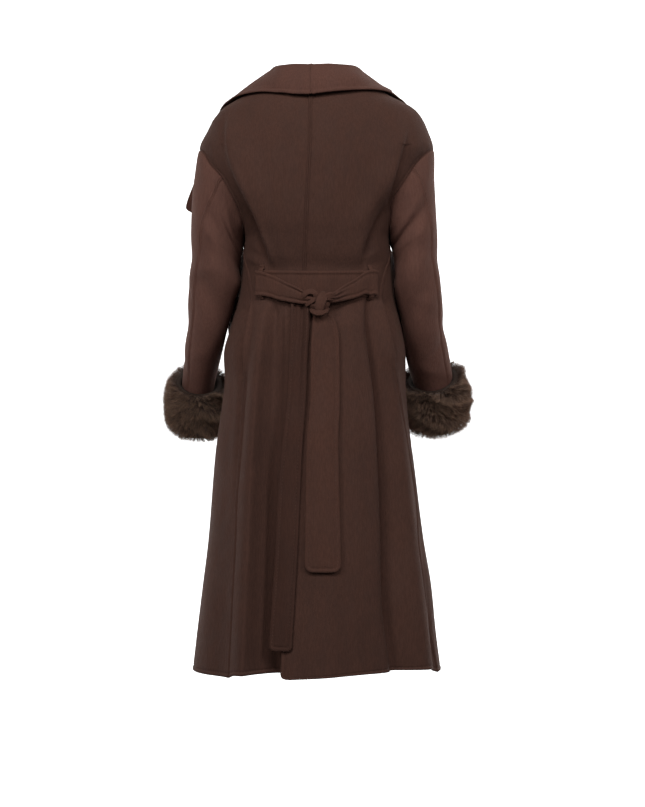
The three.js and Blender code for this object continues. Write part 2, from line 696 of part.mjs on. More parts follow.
// Where a collar section starts: on the neckline behind the shoulder seam, on the front edge before it
function collarBase(side, section, z) {
  const sign = side === 'left' ? -1 : 1;
  const upright = new THREE.Vector3(0, 0, 1);
  if (section <= COLLAR_SHOULDER) {
    const share = section / COLLAR_SHOULDER;
    const centre = thetaAt(CENTRE_BACK.x(NECK_Z), NECK_Z - NAPE_DROP);
    const theta = mix(centre, (sign * Math.PI) / 2, share);
    const height = NECK_Z - NAPE_DROP + NAPE_DROP * share * share;
    const out = new THREE.Vector3(Math.sin(theta), -Math.cos(theta), 0);
    return { base: coat(theta, height), up: upright, out, aside: out.clone().negate() };
  }
  const theta = sign * radians(FRONT_EDGE.turn(z));
  const cloth = { extra: frontLift(side, theta) };
  const base = coat(theta, z, cloth);
  const out = coatNormal(theta, z, cloth);
  const centreward = coat(theta + sign * 0.02, z, cloth).sub(base).normalize();
  const standing = 1 - smooth(section, COLLAR_SHOULDER, COLLAR_SHOULDER + 2.5);
  const up = centreward.clone().lerp(upright, standing).normalize();
  const aside = centreward.multiplyScalar(0.5 + CLOTH * standing).addScaledVector(out, -CLOTH * (1 - standing));
  return { base, up, out, aside };
}

function collar(side) {
  const sign = side === 'left' ? -1 : 1;
  const sections = COLLARS[side];
  const grid = range(COLLAR_SPANS + 1).map((k) => {
    const section = (COLLAR_END * k) / COLLAR_SPANS;
    const { base, up, out, aside } = collarBase(side, section, sections.z(section));
    const edge = new THREE.Vector3(sections.x(section), sections.y(section), sections.edgeZ(section));
    const from = (rise, away) => base.clone().addScaledVector(up, rise).addScaledVector(out, away);
    const rise = sections.rise(section);
    const over = from(rise * 0.8, 9);
    const middle = over.clone().lerp(edge, 0.5).addScaledVector(out, sections.bulge(section));
    const curve = new THREE.CatmullRomCurve3([
      from(0.9, 0).add(aside),
      from(rise * 0.6, 0.5).add(aside),
      from(rise, 3),
      over,
      middle,
      edge,
    ], false, 'centripetal');
    return COLLAR_STEPS.map((t) => {
      const p = curve.getPoint(t);
      return { p: t > 0.3 ? clearOfCoat(p, COLLAR_CLEARANCE) : p };
    });
  });
  gridNormals(grid, side === 'right');
  grid[0].forEach(({ p, n }) => {
    n.setX(0).normalize();
    p.setX(CENTRE_BACK.x(NECK_Z) + (sign * SEAM_GAP) / 2);
  });
  return wall(`collar_${side}`, grid, COLOURS.collar);
}

// The belt lies across the back waist under a loop at each side, turns back over the loops and is tied
// over itself. Its stretches are strips on the coat's own surface, moved out.
const LOOP_CLOTH = 2;
const ON_COAT = BELT_GAP + CLOTH;
const OVER_BAND = ON_COAT + BELT_GAP + LOOP_CLOTH;
const OVER_LOOP = OVER_BAND + BELT_GAP + CLOTH;
const TURN_X = { left: -109, right: 112 };
const LOOP_X = { left: -101, right: 103 };
const LOOP_HALF = 4;
function onCoat(theta, z, out, cloth) {
  const n = coatNormal(theta, z, cloth);
  return { p: coat(theta, z, cloth).addScaledVector(n, out), n };
}

function waistBandBack() {
  const spans = 18;
  const grid = range(spans + 1).map((k) => [-1, 0, 1].map((share) => {
    const z = WAIST_Z - (share * BELT_HEIGHT) / 2;
    return onCoat(thetaAt(mix(TURN_X.left, TURN_X.right, k / spans), z), z, ON_COAT);
  }));
  return wall('waist_band_back', grid, COLOURS.belt);
}

// The knot is a rounded lump with the belt's last turn standing round its middle
const KNOT = { x: 7, z: -408, halfX: 24, halfY: 15, halfZ: 27, squareness: 0.72 };
const KNOT_GAP = 0.2;

// The stretches from the turns to the knot
const WRAP_COLUMNS = ['x', 'z', 'half'];
const WRAPS = {
  left: table(WRAP_COLUMNS, [
    [-109, -366, 23.5],
    [-100, -367, 22],
    [-60, -381, 20],
    [-17, -399, 15],
  ]),
  right: table(WRAP_COLUMNS, [
    [31, -393, 11],
    [70, -375, 18],
    [94, -361, 21],
    [106, -366, 23.5],
    [112, -366, 24],
  ]),
};

function beltWrap(side) {
  const sign = side === 'left' ? -1 : 1;
  const spans = 14;
  const start = TURN_X[side];
  const end = KNOT.x + sign * (KNOT.halfX + KNOT_GAP);
  const grid = range(spans + 1).map((k) => {
    const x = mix(start, end, k / spans);
    return [-1, 0, 1].map((share) => {
      const z = WRAPS[side].z(x) - share * WRAPS[side].half(x);
      return onCoat(thetaAt(x, z), z, OVER_LOOP);
    });
  });
  return wall(`belt_wrap_${side}`, grid, COLOURS.belt);
}

function beltKnot() {
  const power = (value) => Math.sign(value) * Math.abs(value) ** KNOT.squareness;
  const around = 18;
  const rings = 10;
  const positions = [];
  const pointAt = (ring, k) => {
    const rise = (Math.PI * ring) / rings;
    const turn = (2 * Math.PI * k) / around;
    const lastTurn = 1 + 0.1 * Math.exp(-((Math.cos(turn) / 0.45) ** 2));
    const x = KNOT.x + KNOT.halfX * power(Math.sin(rise)) * power(Math.cos(turn));
    const z = KNOT.z + KNOT.halfZ * power(Math.cos(rise));
    const away = power(Math.sin(rise)) * power(Math.sin(turn)) * (turn < Math.PI ? lastTurn : 1);
    const { p } = onCoat(thetaAt(x, z), z, ON_COAT + KNOT_GAP + KNOT.halfY * (1 + away));
    positions.push(p.x, p.y, p.z);
  };
  pointAt(0, 0);
  range(rings - 1).forEach((i) => range(around).forEach((k) => pointAt(i + 1, k)));
  pointAt(rings, 0);
  const index = [];
  const at = (ring, k) => 1 + (ring - 1) * around + (k % around);
  const lowest = 1 + (rings - 1) * around;
  range(around).forEach((k) => {
    index.push(0, at(1, k + 1), at(1, k));
    index.push(lowest, at(rings - 1, k), at(rings - 1, k + 1));
    range(rings - 2).forEach((i) => {
      index.push(at(i + 1, k), at(i + 1, k + 1), at(i + 2, k + 1));
      index.push(at(i + 1, k), at(i + 2, k + 1), at(i + 2, k));
    });
  });
  return solid('belt_knot', positions, index, COLOURS.belt);
}

// The hanging ends, by height: the edges' places across the back
const TAIL_COLUMNS = ['z', 'leftX', 'rightX'];
const TAILS = {
  wide: table(TAIL_COLUMNS, [
    [-412, -3, 24],
    [-436, -6, 33],
    [-474, -8, 41],
    [-586, -9, 42],
    [-667, -15, 38],
    [-880, -17, 40],
    [-895, -14, 37],
    [-903, -4, 27],
  ]),
  long: table(TAIL_COLUMNS, [
    [-392, -36, -6],
    [-450, -40, -10],
    [-493, -46, -14],
    [-584, -52, -17],
    [-667, -60, -23],
    [-759, -67, -27],
    [-871, -72, -31],
    [-954, -77, -35],
    [-1036, -82, -39],
    [-1048, -78, -43],
  ]),
};
// Where each end starts behind the knot, and the heights of its last rows
const TAIL_REACH = {
  wide: { top: -412, ends: [-880, -895, -903] },
  long: { top: -392, ends: [-1036, -1048] },
};

function beltTail(name) {
  const edges = TAILS[name];
  const { top, ends } = TAIL_REACH[name];
  const between = [...WAIST_ROWS, ...SKIRT_ROWS].filter((z) => z < top && z > ends[0]);
  const heights = [top, ...between, ...ends];
  const grid = heights.map((z) => range(5).map((k) => {
    const x = mix(edges.leftX(z), edges.rightX(z), k / 4);
    return onCoat(thetaAt(x, z), z, ON_COAT);
  }));
  return wall(`belt_tail_${name}`, grid, COLOURS.belt);
}

// A loop is sewn down above and below the belt, and stands over its first layer
function beltLoop(side) {
  const thickness = LOOP_CLOTH;
  const half = BELT_HEIGHT / 2;
  const low = 2 * BELT_GAP + thickness;
  const high = OVER_BAND;
  const profile = [
    { z: half + 10, out: low },
    { z: half + 6, out: low },
    { z: half + 1.5, out: high },
    { z: 0, out: high },
    { z: -half - 1.5, out: high },
    { z: -half - 6, out: low },
    { z: -half - 10, out: low },
  ];
  const grid = profile.map(({ z, out }) => [-1, 0, 1].map((share) => {
    const height = WAIST_Z + z;
    return onCoat(thetaAt(LOOP_X[side] + share * LOOP_HALF, height), height, out);
  }));
  return wall(`belt_loop_${side}`, grid, COLOURS.belt, { thickness });
}

const group = new THREE.Group();
group.add(backPanel('left'), backPanel('right'));
group.add(frontPanel('left'), frontPanel('right'));
group.add(collar('left'), collar('right'));
for (const side of ['left', 'right']) {
  group.add(sleevePiece(side, 'upper'), sleevePiece(side, 'under'), cuff(side));
}
group.add(waistBandBack(), beltKnot());
for (const side of ['left', 'right']) group.add(beltWrap(side), beltLoop(side));
for (const name of Object.keys(TAILS)) group.add(beltTail(name));

export default group;
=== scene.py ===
# A long chocolate wool wrap coat with fur cuffs, worn and tied at the back with its own belt.
# Shapes are worked out in millimetres, as in the part's source, and become metres in the meshes.
# The back of the coat faces -Y, +X is the coat's right side, and the origin lies between its shoulders.

import math
from types import SimpleNamespace

import bpy
import numpy as np
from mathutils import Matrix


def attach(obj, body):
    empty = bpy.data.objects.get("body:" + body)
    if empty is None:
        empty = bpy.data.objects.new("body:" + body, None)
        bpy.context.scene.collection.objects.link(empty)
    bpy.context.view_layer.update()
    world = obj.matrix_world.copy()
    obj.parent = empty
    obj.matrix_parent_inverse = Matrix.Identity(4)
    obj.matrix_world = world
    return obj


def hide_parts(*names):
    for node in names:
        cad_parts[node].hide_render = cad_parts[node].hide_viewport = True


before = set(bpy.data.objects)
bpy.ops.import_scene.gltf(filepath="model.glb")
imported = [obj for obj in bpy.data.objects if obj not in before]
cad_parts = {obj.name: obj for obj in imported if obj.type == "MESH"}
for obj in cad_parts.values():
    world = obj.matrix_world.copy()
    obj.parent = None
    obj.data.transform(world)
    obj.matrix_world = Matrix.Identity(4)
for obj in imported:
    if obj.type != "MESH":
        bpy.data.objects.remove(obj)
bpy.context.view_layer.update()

METRES = 0.001
SEED = 11

# Driving dimensions, in millimetres
CLOTH = 2.5
SEAM_GAP = 0.3
NECK_Z = 33
NAPE_DROP = 15
NAPE_FROM_Z = -65
ARMHOLE_TOP_Z = -105
UNDERARM_Z = -278
WAIST_Z = -366
VENT_TOP_Z = -695
HEM_Z = -1100
ROUNDNESS = 2.3
OVERLAP_LIFT = 6
BELT_HEIGHT = 48
BELT_GAP = 0.6
VENT_UNDERLAP = 45
HEM_CORNER = 11  # radius of the rounded corner at the foot of the vent
STITCH_LINE = 7.2  # from a finished edge to its line of hand stitches


# Numbers and curves

def smooth(x, start, end):
    t = np.clip((np.asarray(x, float) - start) / (end - start), 0, 1)
    return t * t * (3 - 2 * t)


def mix(a, b, share):
    return a + (b - a) * share


def bell(x, width):
    return np.exp(-((x / width) ** 2))


def stack(*parts):
    return np.stack(np.broadcast_arrays(*[np.asarray(part, float) for part in parts]), axis=-1)


def length(v):
    return np.linalg.norm(v, axis=-1, keepdims=True)


def unit(v):
    return v / np.maximum(length(v), 1e-9)


def wrap_angle(a):
    return np.arctan2(np.sin(a), np.cos(a))


def smooth_curve(places, values):
    """A curve through values at given places, which never overshoots them."""
    order = np.argsort(places)
    x = np.array(places, float)[order]
    y = np.array(values, float)[order]
    step = np.diff(y) / np.diff(x)
    both = step[:-1] * step[1:]
    total = np.where(both > 0, step[:-1] + step[1:], 1)
    inner = np.where(both > 0, 2 * both / total, 0)
    slope = np.concatenate([step[:1], inner, step[-1:]])

    def at(place):
        p = np.clip(np.asarray(place, float), x[0], x[-1])
        k = np.clip(np.searchsorted(x, p) - 1, 0, len(x) - 2)
        span = x[k + 1] - x[k]
        t = (p - x[k]) / span
        rise = y[k + 1] - y[k]
        a = span * slope[k] - rise
        b = rise - span * slope[k + 1]
        return y[k] + t * rise + t * (1 - t) * (a * (1 - t) + b * t)

    return at


def named(columns, row):
    return SimpleNamespace(**dict(zip(columns, row)))


def table(columns, rows):
    """Named columns. The first column is the place that the others are read at."""
    places = [row[0] for row in rows]
    curves = {}
    for k, name in enumerate(columns[1:], start=1):
        curves[name] = smooth_curve(places, [row[k] for row in rows])
    return SimpleNamespace(**curves)


# Half widths and depths of the coat's body, outside, by height
BODY = table(["z", "left", "right", "back", "front"], [
    [33, 66, 66, 50, 50],
    [22, 87, 91, 60, 59],
    [12, 106, 113, 68, 65],
    [2, 126, 133, 77, 71],
    [-8, 147, 151, 84, 78],
    [-18, 164, 172, 91, 84],
    [-29, 180, 189, 97, 90],
    [-45, 193, 202, 104, 98],
    [-68, 206, 213, 112, 107],
    [-105, 222, 224, 121, 119],
    [-136, 216, 208, 126, 126],
    [-165, 203, 198, 128, 130],
    [-195, 186, 179, 129, 132],
    [-224, 163, 158, 128, 132],
    [-250, 147, 148, 125, 130],
    [-278, 137, 141, 119, 126],
    [-312, 139, 143, 112, 119],
    [-340, 141, 145, 104, 113],
    [-392, 148, 150, 105, 113],
    [-450, 165, 164, 123, 126],
    [-500, 177, 172, 130, 131],
    [-545, 175, 172, 135, 135],
    [-600, 181, 175, 141, 140],
    [-690, 193, 186, 147, 146],
    [-850, 206, 206, 155, 153],
    [-940, 217, 221, 160, 157],
    [-1030, 228, 230, 165, 160],
    [-1100, 236, 239, 168, 162],
])

# Where the armhole seams run, as half widths of the panels
ARMHOLE = table(["z", "leftBack", "leftFront", "rightBack", "rightFront"], [
    [-105, 222, 222, 224, 224],
    [-115, 213, 214, 210, 212],
    [-136, 201, 202, 190, 192],
    [-165, 177, 179, 171, 173],
    [-195, 161, 163, 153, 156],
    [-224, 147, 148, 142, 144],
    [-250, 138, 139, 139, 140],
    [-278, 137, 137, 141, 141],
])

# The side seams, in degrees round from the centre back
SIDE_SEAM = table(["z", "left", "right"], [
    [-278, 90, 90],
    [-312, 79, 79],
    [-345, 68.5, 68],
    [-390, 61.8, 61.5],
    [-450, 57, 59],
    [-526, 55, 61],
    [-611, 53, 66],
    [-718, 51, 73.5],
    [-774, 51, 76],
    [-870, 50, 69],
    [-954, 49.5, 69.5],
    [-1016, 49, 73.5],
    [-1100, 48.7, 76],
])

CENTRE_BACK = table(["z", "x"], [
    [18, -10],
    [-100, -11],
    [-182, -15],
    [-345, -22],
    [-600, -38],
    [-850, -51],
    [-1100, -62],
])

FRONT_EDGE = table(["z", "turn"], [
    [33, 97],
    [12, 114],
    [-18, 129],
    [-68, 144],
    [-136, 156],
    [-224, 169],
    [-290, 180],
    [-345, 194],
    [-450, 206],
    [-1100, 207],
])

# Folds that hang along the cloth. A positive amount stands out, a negative one is a trough. The lean
# moves the cloth to the right, so that it hangs over. Folds without one stand straight.
FOLD_COLUMNS = ["z", "x", "out", "leftWidth", "rightWidth", "lean"]
FOLD_ROWS = [
    # The left deep fold of the skirt
    ("back", [
        [-394, -92, 0, 16, 8, 0],
        [-430, -96, 9, 20, 8, 4],
        [-547, -104, 17, 26, 8, 7],
        [-674, -110, 23, 30, 8.5, 8],
        [-883, -116, 29, 32, 9, 9],
        [-1100, -121, 35, 34, 9, 9],
    ]),
    # The recess beside it
    ("left panel", [
        [-395, -72, 0, 12, 20],
        [-450, -70, -7, 14, 20],
        [-600, -72, -13, 15, 18],
        [-760, -76, -20, 17, 34],
        [-1100, -82, -27, 18, 60],
    ]),
    # The swell in the middle
    ("back", [
        [-420, 28, 0, 40, 40],
        [-650, 26, 10, 54, 52],
        [-900, 22, 22, 66, 62],
        [-1100, 17, 31, 74, 68],
    ]),
    # The valley on the right, and the ridge beyond it
    ("back", [
        [-394, 100, 0, 14, 14],
        [-450, 106, -9, 16, 16],
        [-591, 127, -15, 18, 19],
        [-810, 141, -20, 21, 22],
        [-962, 146, -23, 22, 23],
        [-1100, 165, -25, 24, 22],
    ]),
    ("back", [
        [-400, 124, 0, 14, 18],
        [-600, 152, 7, 16, 24],
        [-850, 176, 9, 18, 26],
        [-1100, 202, 12, 20, 28],
    ]),
    # The small fold by the left pocket
    ("back", [
        [-395, -114, 0, 9, 9],
        [-450, -122, -5, 10, 10],
        [-600, -132, -5, 12, 12],
        [-760, -136, 0, 12, 12],
    ]),
    # The drapes that run from the shoulder blades to the waist, each with its trough
    ("back", [
        [-45, -160, 0, 20, 22],
        [-98, -156, 8, 20, 26],
        [-144, -142, 12, 20, 28],
        [-194, -121, 13, 20, 30],
        [-260, -93, 10, 20, 28],
        [-320, -78, 3, 18, 24],
        [-340, -74, 0, 18, 22],
    ]),
    ("back", [
        [-120, -172, 0, 17, 17],
        [-194, -144, -4, 17, 17],
        [-260, -116, -7, 18, 17],
        [-320, -100, -3, 18, 17],
        [-340, -96, 0, 18, 17],
    ]),
    ("back", [
        [-60, 158, 0, 22, 19],
        [-120, 148, 8, 24, 19],
        [-190, 124, 10, 26, 19],
        [-255, 88, 8, 26, 19],
        [-320, 74, 3, 24, 18],
        [-340, 70, 0, 24, 18],
    ]),
    ("back", [
        [-150, 148, 0, 17, 17],
        [-240, 116, -6, 17, 17],
        [-300, 98, -5, 17, 17],
        [-340, 92, 0, 17, 17],
    ]),
    # The fronts, whose sides swell behind the sleeves
    ("front", [
        [-278, -123, 10, 20, 20],
        [-310, -131, 20, 21, 21],
        [-345, -134, 22, 22, 22],
        [-392, -140, 24, 23, 22],
        [-430, -150, 21, 22, 22],
        [-480, -160, 7, 20, 20],
        [-520, -168, 0, 20, 20],
    ]),
    ("front", [
        [-278, 126, 10, 20, 20],
        [-310, 134, 20, 21, 21],
        [-345, 138, 22, 22, 22],
        [-392, 142, 23, 22, 23],
        [-430, 150, 21, 22, 22],
        [-480, 158, 15, 20, 20],
        [-520, 162, 8, 20, 20],
        [-560, 168, 0, 20, 20],
    ]),
    ("front", [
        [-420, -70, 0, 34, 34],
        [-700, -92, 9, 44, 40],
        [-1100, -112, 22, 52, 46],
    ]),
    ("front", [
        [-400, -116, 0, 20, 20],
        [-600, -150, -9, 24, 24],
        [-1100, -182, -19, 28, 28],
    ]),
    ("front", [
        [-400, 72, 0, 22, 22],
        [-650, 92, -10, 26, 26],
        [-1100, 112, -20, 32, 32],
    ]),
    ("front", [
        [-430, 128, 0, 26, 26],
        [-700, 154, 8, 34, 30],
        [-1100, 178, 17, 40, 34],
    ]),
    # Finer creases of the cloth, which the part's source leaves out. First those of the two drapes
    ("back", [
        [-36, -178, 0, 7, 9],
        [-60, -176, -4.0, 7, 9],
        [-95, -171, -4.0, 7, 9],
        [-130, -160, -2.0, 8, 9],
        [-170, -150, 0, 8, 9],
    ]),
    ("back", [
        [-44, -164, 0, 8, 9],
        [-90, -160, 3.0, 9, 10],
        [-144, -146, 4.5, 11, 9],
        [-200, -120, 5.5, 12, 8],
        [-260, -97, 5.5, 12, 7],
        [-315, -81, 4.0, 10, 6],
        [-338, -76, 0, 10, 6],
    ]),
    ("back", [
        [-222, -128, 0, 6, 9],
        [-262, -118, -8.0, 7, 9],
        [-310, -100, -8.0, 7, 9],
        [-340, -92, 0, 7, 8],
    ]),
    ("back", [
        [-52, 182, 0, 8, 8],
        [-88, 175, -3.5, 7, 8],
        [-120, 163, -5.0, 6, 8],
        [-157, 150, -6.0, 6, 9],
        [-209, 143, -6.5, 6, 9],
        [-236, 136, 0, 6, 9],
    ]),
    ("back", [
        [-70, 164, 0, 12, 7],
        [-120, 150, 3.0, 13, 7],
        [-165, 138, 4.5, 13, 7],
        [-210, 130, 5.0, 13, 7],
        [-250, 108, 4.0, 12, 7],
        [-300, 86, 3.0, 11, 6],
        [-336, 84, 0, 10, 6],
    ]),
    ("back", [
        [-222, 130, 0, 6, 8],
        [-250, 118, -6.0, 6, 8],
        [-300, 97, -6.0, 6, 9],
        [-334, 93, 0, 6, 9],
    ]),
    # Soft folds over the waist, where the cloth is gathered in by the belt
    ("back", [
        [-180, 46, 0, 20, 20],
        [-250, 40, -2.0, 22, 20],
        [-338, 44, -2.6, 18, 16],
    ]),
    ("back", [
        [-150, -52, 0, 18, 18],
        [-240, -50, 1.6, 18, 18],
        [-338, -46, 2.0, 14, 14],
    ]),
    # Creases of the skirt below the belt
    ("back", [
        [-392, -132, 0, 5, 6],
        [-430, -134, 1.8, 6, 7],
        [-560, -146, 2.0, 8, 8],
        [-800, -158, 1.2, 10, 10],
        [-1000, -170, 0, 12, 12],
    ]),
    ("back", [
        [-392, -55, 0, 5, 5],
        [-440, -57, 2.4, 6, 6],
        [-560, -60, 2.6, 7, 7],
        [-740, -66, 1.2, 9, 9],
        [-900, -70, 0, 9, 9],
    ]),
    ("back", [
        [-403, -77, 0, 4, 6],
        [-425, -82, -7.0, 4, 8],
        [-520, -86, -8.0, 5, 10],
        [-700, -91, -8.0, 6, 12],
        [-1100, -98, -7.0, 6, 13],
    ]),
    ("back", [
        [-400, 62, 0, 8, 8],
        [-470, 66, 1.8, 10, 10],
        [-640, 74, 2.0, 14, 14],
        [-860, 84, 1.0, 18, 18],
        [-1000, 90, 0, 20, 20],
    ]),
    ("back", [
        [-384, 99, 0, 6, 4],
        [-398, 100, -5.0, 6, 4],
        [-430, 104, -9.0, 7, 4.5],
        [-591, 125, -11.0, 8, 5],
        [-810, 139, -10.0, 9, 5],
        [-962, 145, -8.0, 10, 6],
        [-1080, 160, -3.0, 11, 7],
    ]),
    ("back", [
        [-560, 176, 0, 8, 8],
        [-700, 186, -3.2, 9, 10],
        [-900, 206, -4.4, 9, 10],
        [-1100, 222, -5.0, 9, 9],
    ]),
    ("back", [
        [-500, 28, 0, 14, 14],
        [-700, 46, -1.2, 18, 18],
        [-1100, 66, -2.2, 24, 24],
    ]),
    # Creases of the hidden fronts
    ("front", [
        [-392, -48, 0, 9, 9],
        [-450, -52, 2.6, 11, 11],
        [-620, -58, 2.2, 14, 14],
        [-860, -66, 0, 18, 18],
    ]),
    ("front", [
        [-392, -94, 0, 8, 8],
        [-440, -98, -3.4, 9, 9],
        [-700, -120, -4.2, 13, 12],
        [-1000, -140, 0, 16, 16],
    ]),
    ("front", [
        [-392, 40, 0, 10, 8],
        [-460, 46, -2.8, 12, 9],
        [-760, 58, -3.0, 16, 14],
        [-1000, 66, 0, 18, 16],
    ]),
    ("front", [
        [-392, 104, 0, 8, 8],
        [-470, 110, 3.2, 10, 9],
        [-720, 128, 3.2, 14, 12],
        [-1100, 150, 2.0, 20, 16],
    ]),
    ("front", [
        [-150, -128, 0, 14, 14],
        [-220, -104, 4.0, 16, 14],
        [-300, -80, 3.4, 14, 12],
        [-340, -70, 0, 12, 12],
    ]),
    ("front", [
        [-140, 132, 0, 14, 14],
        [-210, 110, 4.4, 15, 15],
        [-296, 84, 3.4, 14, 13],
        [-340, 74, 0, 12, 12],
    ]),
]

# Short slanting creases, from one end to the other, as x and z on the back or the front
CREASE_COLUMNS = ["face", "x0", "z0", "x1", "z1", "out", "width"]
CREASES = [
    ["back", -134, -316, -92, -334, 2.6, 5],
    ["back", -128, -300, -98, -322, -2.6, 5],
    ["back", 88, -322, 118, -304, 2.8, 5],
    ["back", 92, -334, 122, -326, -2.0, 5],
    ["back", -126, -398, -104, -420, 2.0, 6],
    ["back", 76, -398, 96, -432, 1.6, 6],
    ["back", -60, -300, 10, -326, -1.3, 13],
    ["back", 62, -250, 20, -320, 1.2, 13],
    ["back", -206, -40, -168, -70, 1.4, 9],
    ["back", 196, -52, 164, -92, 1.3, 8],
    ["back", -150, -12, -60, -42, -1.0, 14],
    ["back", 150, -18, 70, -46, -0.9, 15],
    ["front", -120, -318, -70, -332, 2.4, 7],
    ["front", 116, -312, 66, -330, -2.4, 7],
    ["front", -96, -402, -80, -440, 2.2, 7],
    ["front", 92, -400, 78, -436, -2.0, 7],
]

FOLD_HEIGHTS = np.arange(-1140, 61, 2.0)


def reach(theta, z):
    """How far the section reaches from the axis, in the direction theta round from the centre back."""
    side = np.where(np.sin(theta) < 0, BODY.left(z), BODY.right(z))
    depth = np.where(np.cos(theta) > 0, BODY.back(z), BODY.front(z))
    across = np.abs(np.sin(theta) / side) ** ROUNDNESS
    along = np.abs(np.cos(theta) / depth) ** ROUNDNESS
    return (across + along) ** (-1 / ROUNDNESS)


def theta_at(x, z, front=False):
    """The direction in which the back or the front of the section stands at x."""
    x, z = np.broadcast_arrays(np.asarray(x, float), np.asarray(z, float))
    low = np.full(x.shape, -np.pi / 2)
    high = np.full(x.shape, np.pi / 2)
    for _ in range(32):
        middle = (low + high) / 2
        turned = np.pi - middle if front else middle
        short = reach(turned, z) * np.sin(middle) < x
        low = np.where(short, middle, low)
        high = np.where(short, high, middle)
    found = (low + high) / 2
    return np.pi - found if front else found


def read_fold(kind, rows):
    """A fold's columns, read beforehand at every height."""
    straight = len(rows[0]) < len(FOLD_COLUMNS)
    columns = table(FOLD_COLUMNS, [[*row, 0] for row in rows] if straight else rows)
    front = kind == "front"
    crest = theta_at(columns.x(FOLD_HEIGHTS), FOLD_HEIGHTS, front)
    at_crest = reach(crest, FOLD_HEIGHTS)
    return SimpleNamespace(
        front=front,
        left_panel=kind == "left panel",
        crest=crest,
        reach=at_crest,
        out=columns.out(FOLD_HEIGHTS),
        leftWidth=columns.leftWidth(FOLD_HEIGHTS),
        rightWidth=columns.rightWidth(FOLD_HEIGHTS),
        lean=columns.lean(FOLD_HEIGHTS),
    )


FOLDS = [read_fold(kind, rows) for kind, rows in FOLD_ROWS]


def folds_at(theta, z, left_panel):
    """How far the folds move the cloth out, and along it to the right."""
    out = np.zeros(theta.shape)
    lean = np.zeros(theta.shape)
    for fold in FOLDS:
        kept = 1.0
        if fold.left_panel and not left_panel:
            kept = 1 - smooth(-z, 560, -VENT_TOP_Z)
        crest = np.interp(z, FOLD_HEIGHTS, fold.crest)
        away = wrap_angle(theta - crest) * np.interp(z, FOLD_HEIGHTS, fold.reach)
        left = np.interp(z, FOLD_HEIGHTS, fold.leftWidth)
        right = np.interp(z, FOLD_HEIGHTS, fold.rightWidth)
        width = np.where((away < 0) == (not fold.front), left, right)
        share = bell(away, width)
        out += np.interp(z, FOLD_HEIGHTS, fold.out) * kept * share
        lean += np.interp(z, FOLD_HEIGHTS, fold.lean) * share
    return out, lean


def creases_at(theta, z):
    """Short creases: a bell across each line, which fades towards both of its ends."""
    x = reach(theta, z) * np.sin(theta)
    on_back = np.cos(theta) > 0
    out = np.zeros(theta.shape)
    for row in CREASES:
        crease = named(CREASE_COLUMNS, row)
        start = np.array([crease.x0, crease.z0], float)
        line = np.array([crease.x1, crease.z1], float) - start
        span = np.hypot(*line)
        along = ((x - start[0]) * line[0] + (z - start[1]) * line[1]) / span**2
        across = ((x - start[0]) * line[1] - (z - start[1]) * line[0]) / span
        fade = bell(along - 0.5, 0.42)
        here = on_back if crease.face == "back" else ~on_back
        out += np.where(here, crease.out * bell(across, crease.width) * fade, 0)
    return out


VENT_STEP = 4.2  # how far the left half lies under the right one at the top of the vent
VENT_SPREAD = 7  # how much further at the hem


def vent_depth(z):
    step = VENT_STEP * smooth(-z, -VENT_TOP_Z - 45, -VENT_TOP_Z)
    return step + VENT_SPREAD * smooth(-z, 760, -HEM_Z)


def vent_underlap(z):
    return VENT_UNDERLAP * smooth(-z, -VENT_TOP_Z, -VENT_TOP_Z + 40)


def coat(theta, z, left_back=False, extra=0.0):
    """The outside of the cloth at the direction theta and the height z."""
    theta, z = np.broadcast_arrays(np.asarray(theta, float), np.asarray(z, float))
    out, lean = folds_at(theta, z, left_back)
    r = reach(theta, z) + out + creases_at(theta, z) + extra
    if left_back:
        centre = theta_at(CENTRE_BACK.x(z), z)
        r = r - vent_depth(z) * (1 - smooth((centre - theta) * r, 0, 40))
    return stack(
        r * np.sin(theta) + lean * np.cos(theta),
        -r * np.cos(theta) + lean * np.sin(theta),
        z,
    )


def coat_normal(theta, z, extra=0.0):
    """The direction out of the cloth, from four points close by."""
    step = 0.004
    drop = 0.6
    round_it = coat(theta + step, z, extra=extra) - coat(theta - step, z, extra=extra)
    up = coat(theta, z + drop, extra=extra) - coat(theta, z - drop, extra=extra)
    return unit(np.cross(round_it, up))


def on_coat(theta, z, out, extra=0.0):
    """A point at the distance out from the cloth, and the direction out there."""
    n = coat_normal(theta, z, extra)
    return coat(theta, z, extra=extra) + n * np.asarray(out, float)[..., None], n


# Meshes

def new_object(name, points, faces, material):
    """A smooth mesh of points in millimetres, carried by the coat's one body."""
    mesh = bpy.data.meshes.new(name)
    mesh.from_pydata((points * METRES).tolist(), [], faces)
    mesh.validate()
    mesh.materials.append(material)
    mesh.polygons.foreach_set("use_smooth", [True] * len(mesh.polygons))
    piece = bpy.data.objects.new(name, mesh)
    bpy.context.scene.collection.objects.link(piece)
    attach(piece, "root")
    return piece


def grid_normals(grid, outward=None):
    """The directions out of a grid of points, turned to the side of outward where it is given."""
    down = np.gradient(grid, axis=0)
    across = np.gradient(grid, axis=1)
    n = unit(np.cross(down, across))
    if outward is not None and np.sum(n * outward) < 0:
        n = -n
    return n


def edge_distances(grid):
    """How far each point of a grid lies from its first, last, top and bottom edges, along the cloth."""
    across = np.cumsum(length(np.diff(grid, axis=1, prepend=grid[:, :1]))[..., 0], axis=1)
    down = np.cumsum(length(np.diff(grid, axis=0, prepend=grid[:1]))[..., 0], axis=0)
    return {
        "first": across,
        "last": across[:, -1:] - across,
        "top": down,
        "bottom": down[-1:] - down,
    }


def seam_relief(d):
    """A seam is a narrow raised line, with a groove beside it."""
    return 1.4 * bell(d - 1.6, 1.7) - 0.8 * bell(d - 5.2, 1.9)


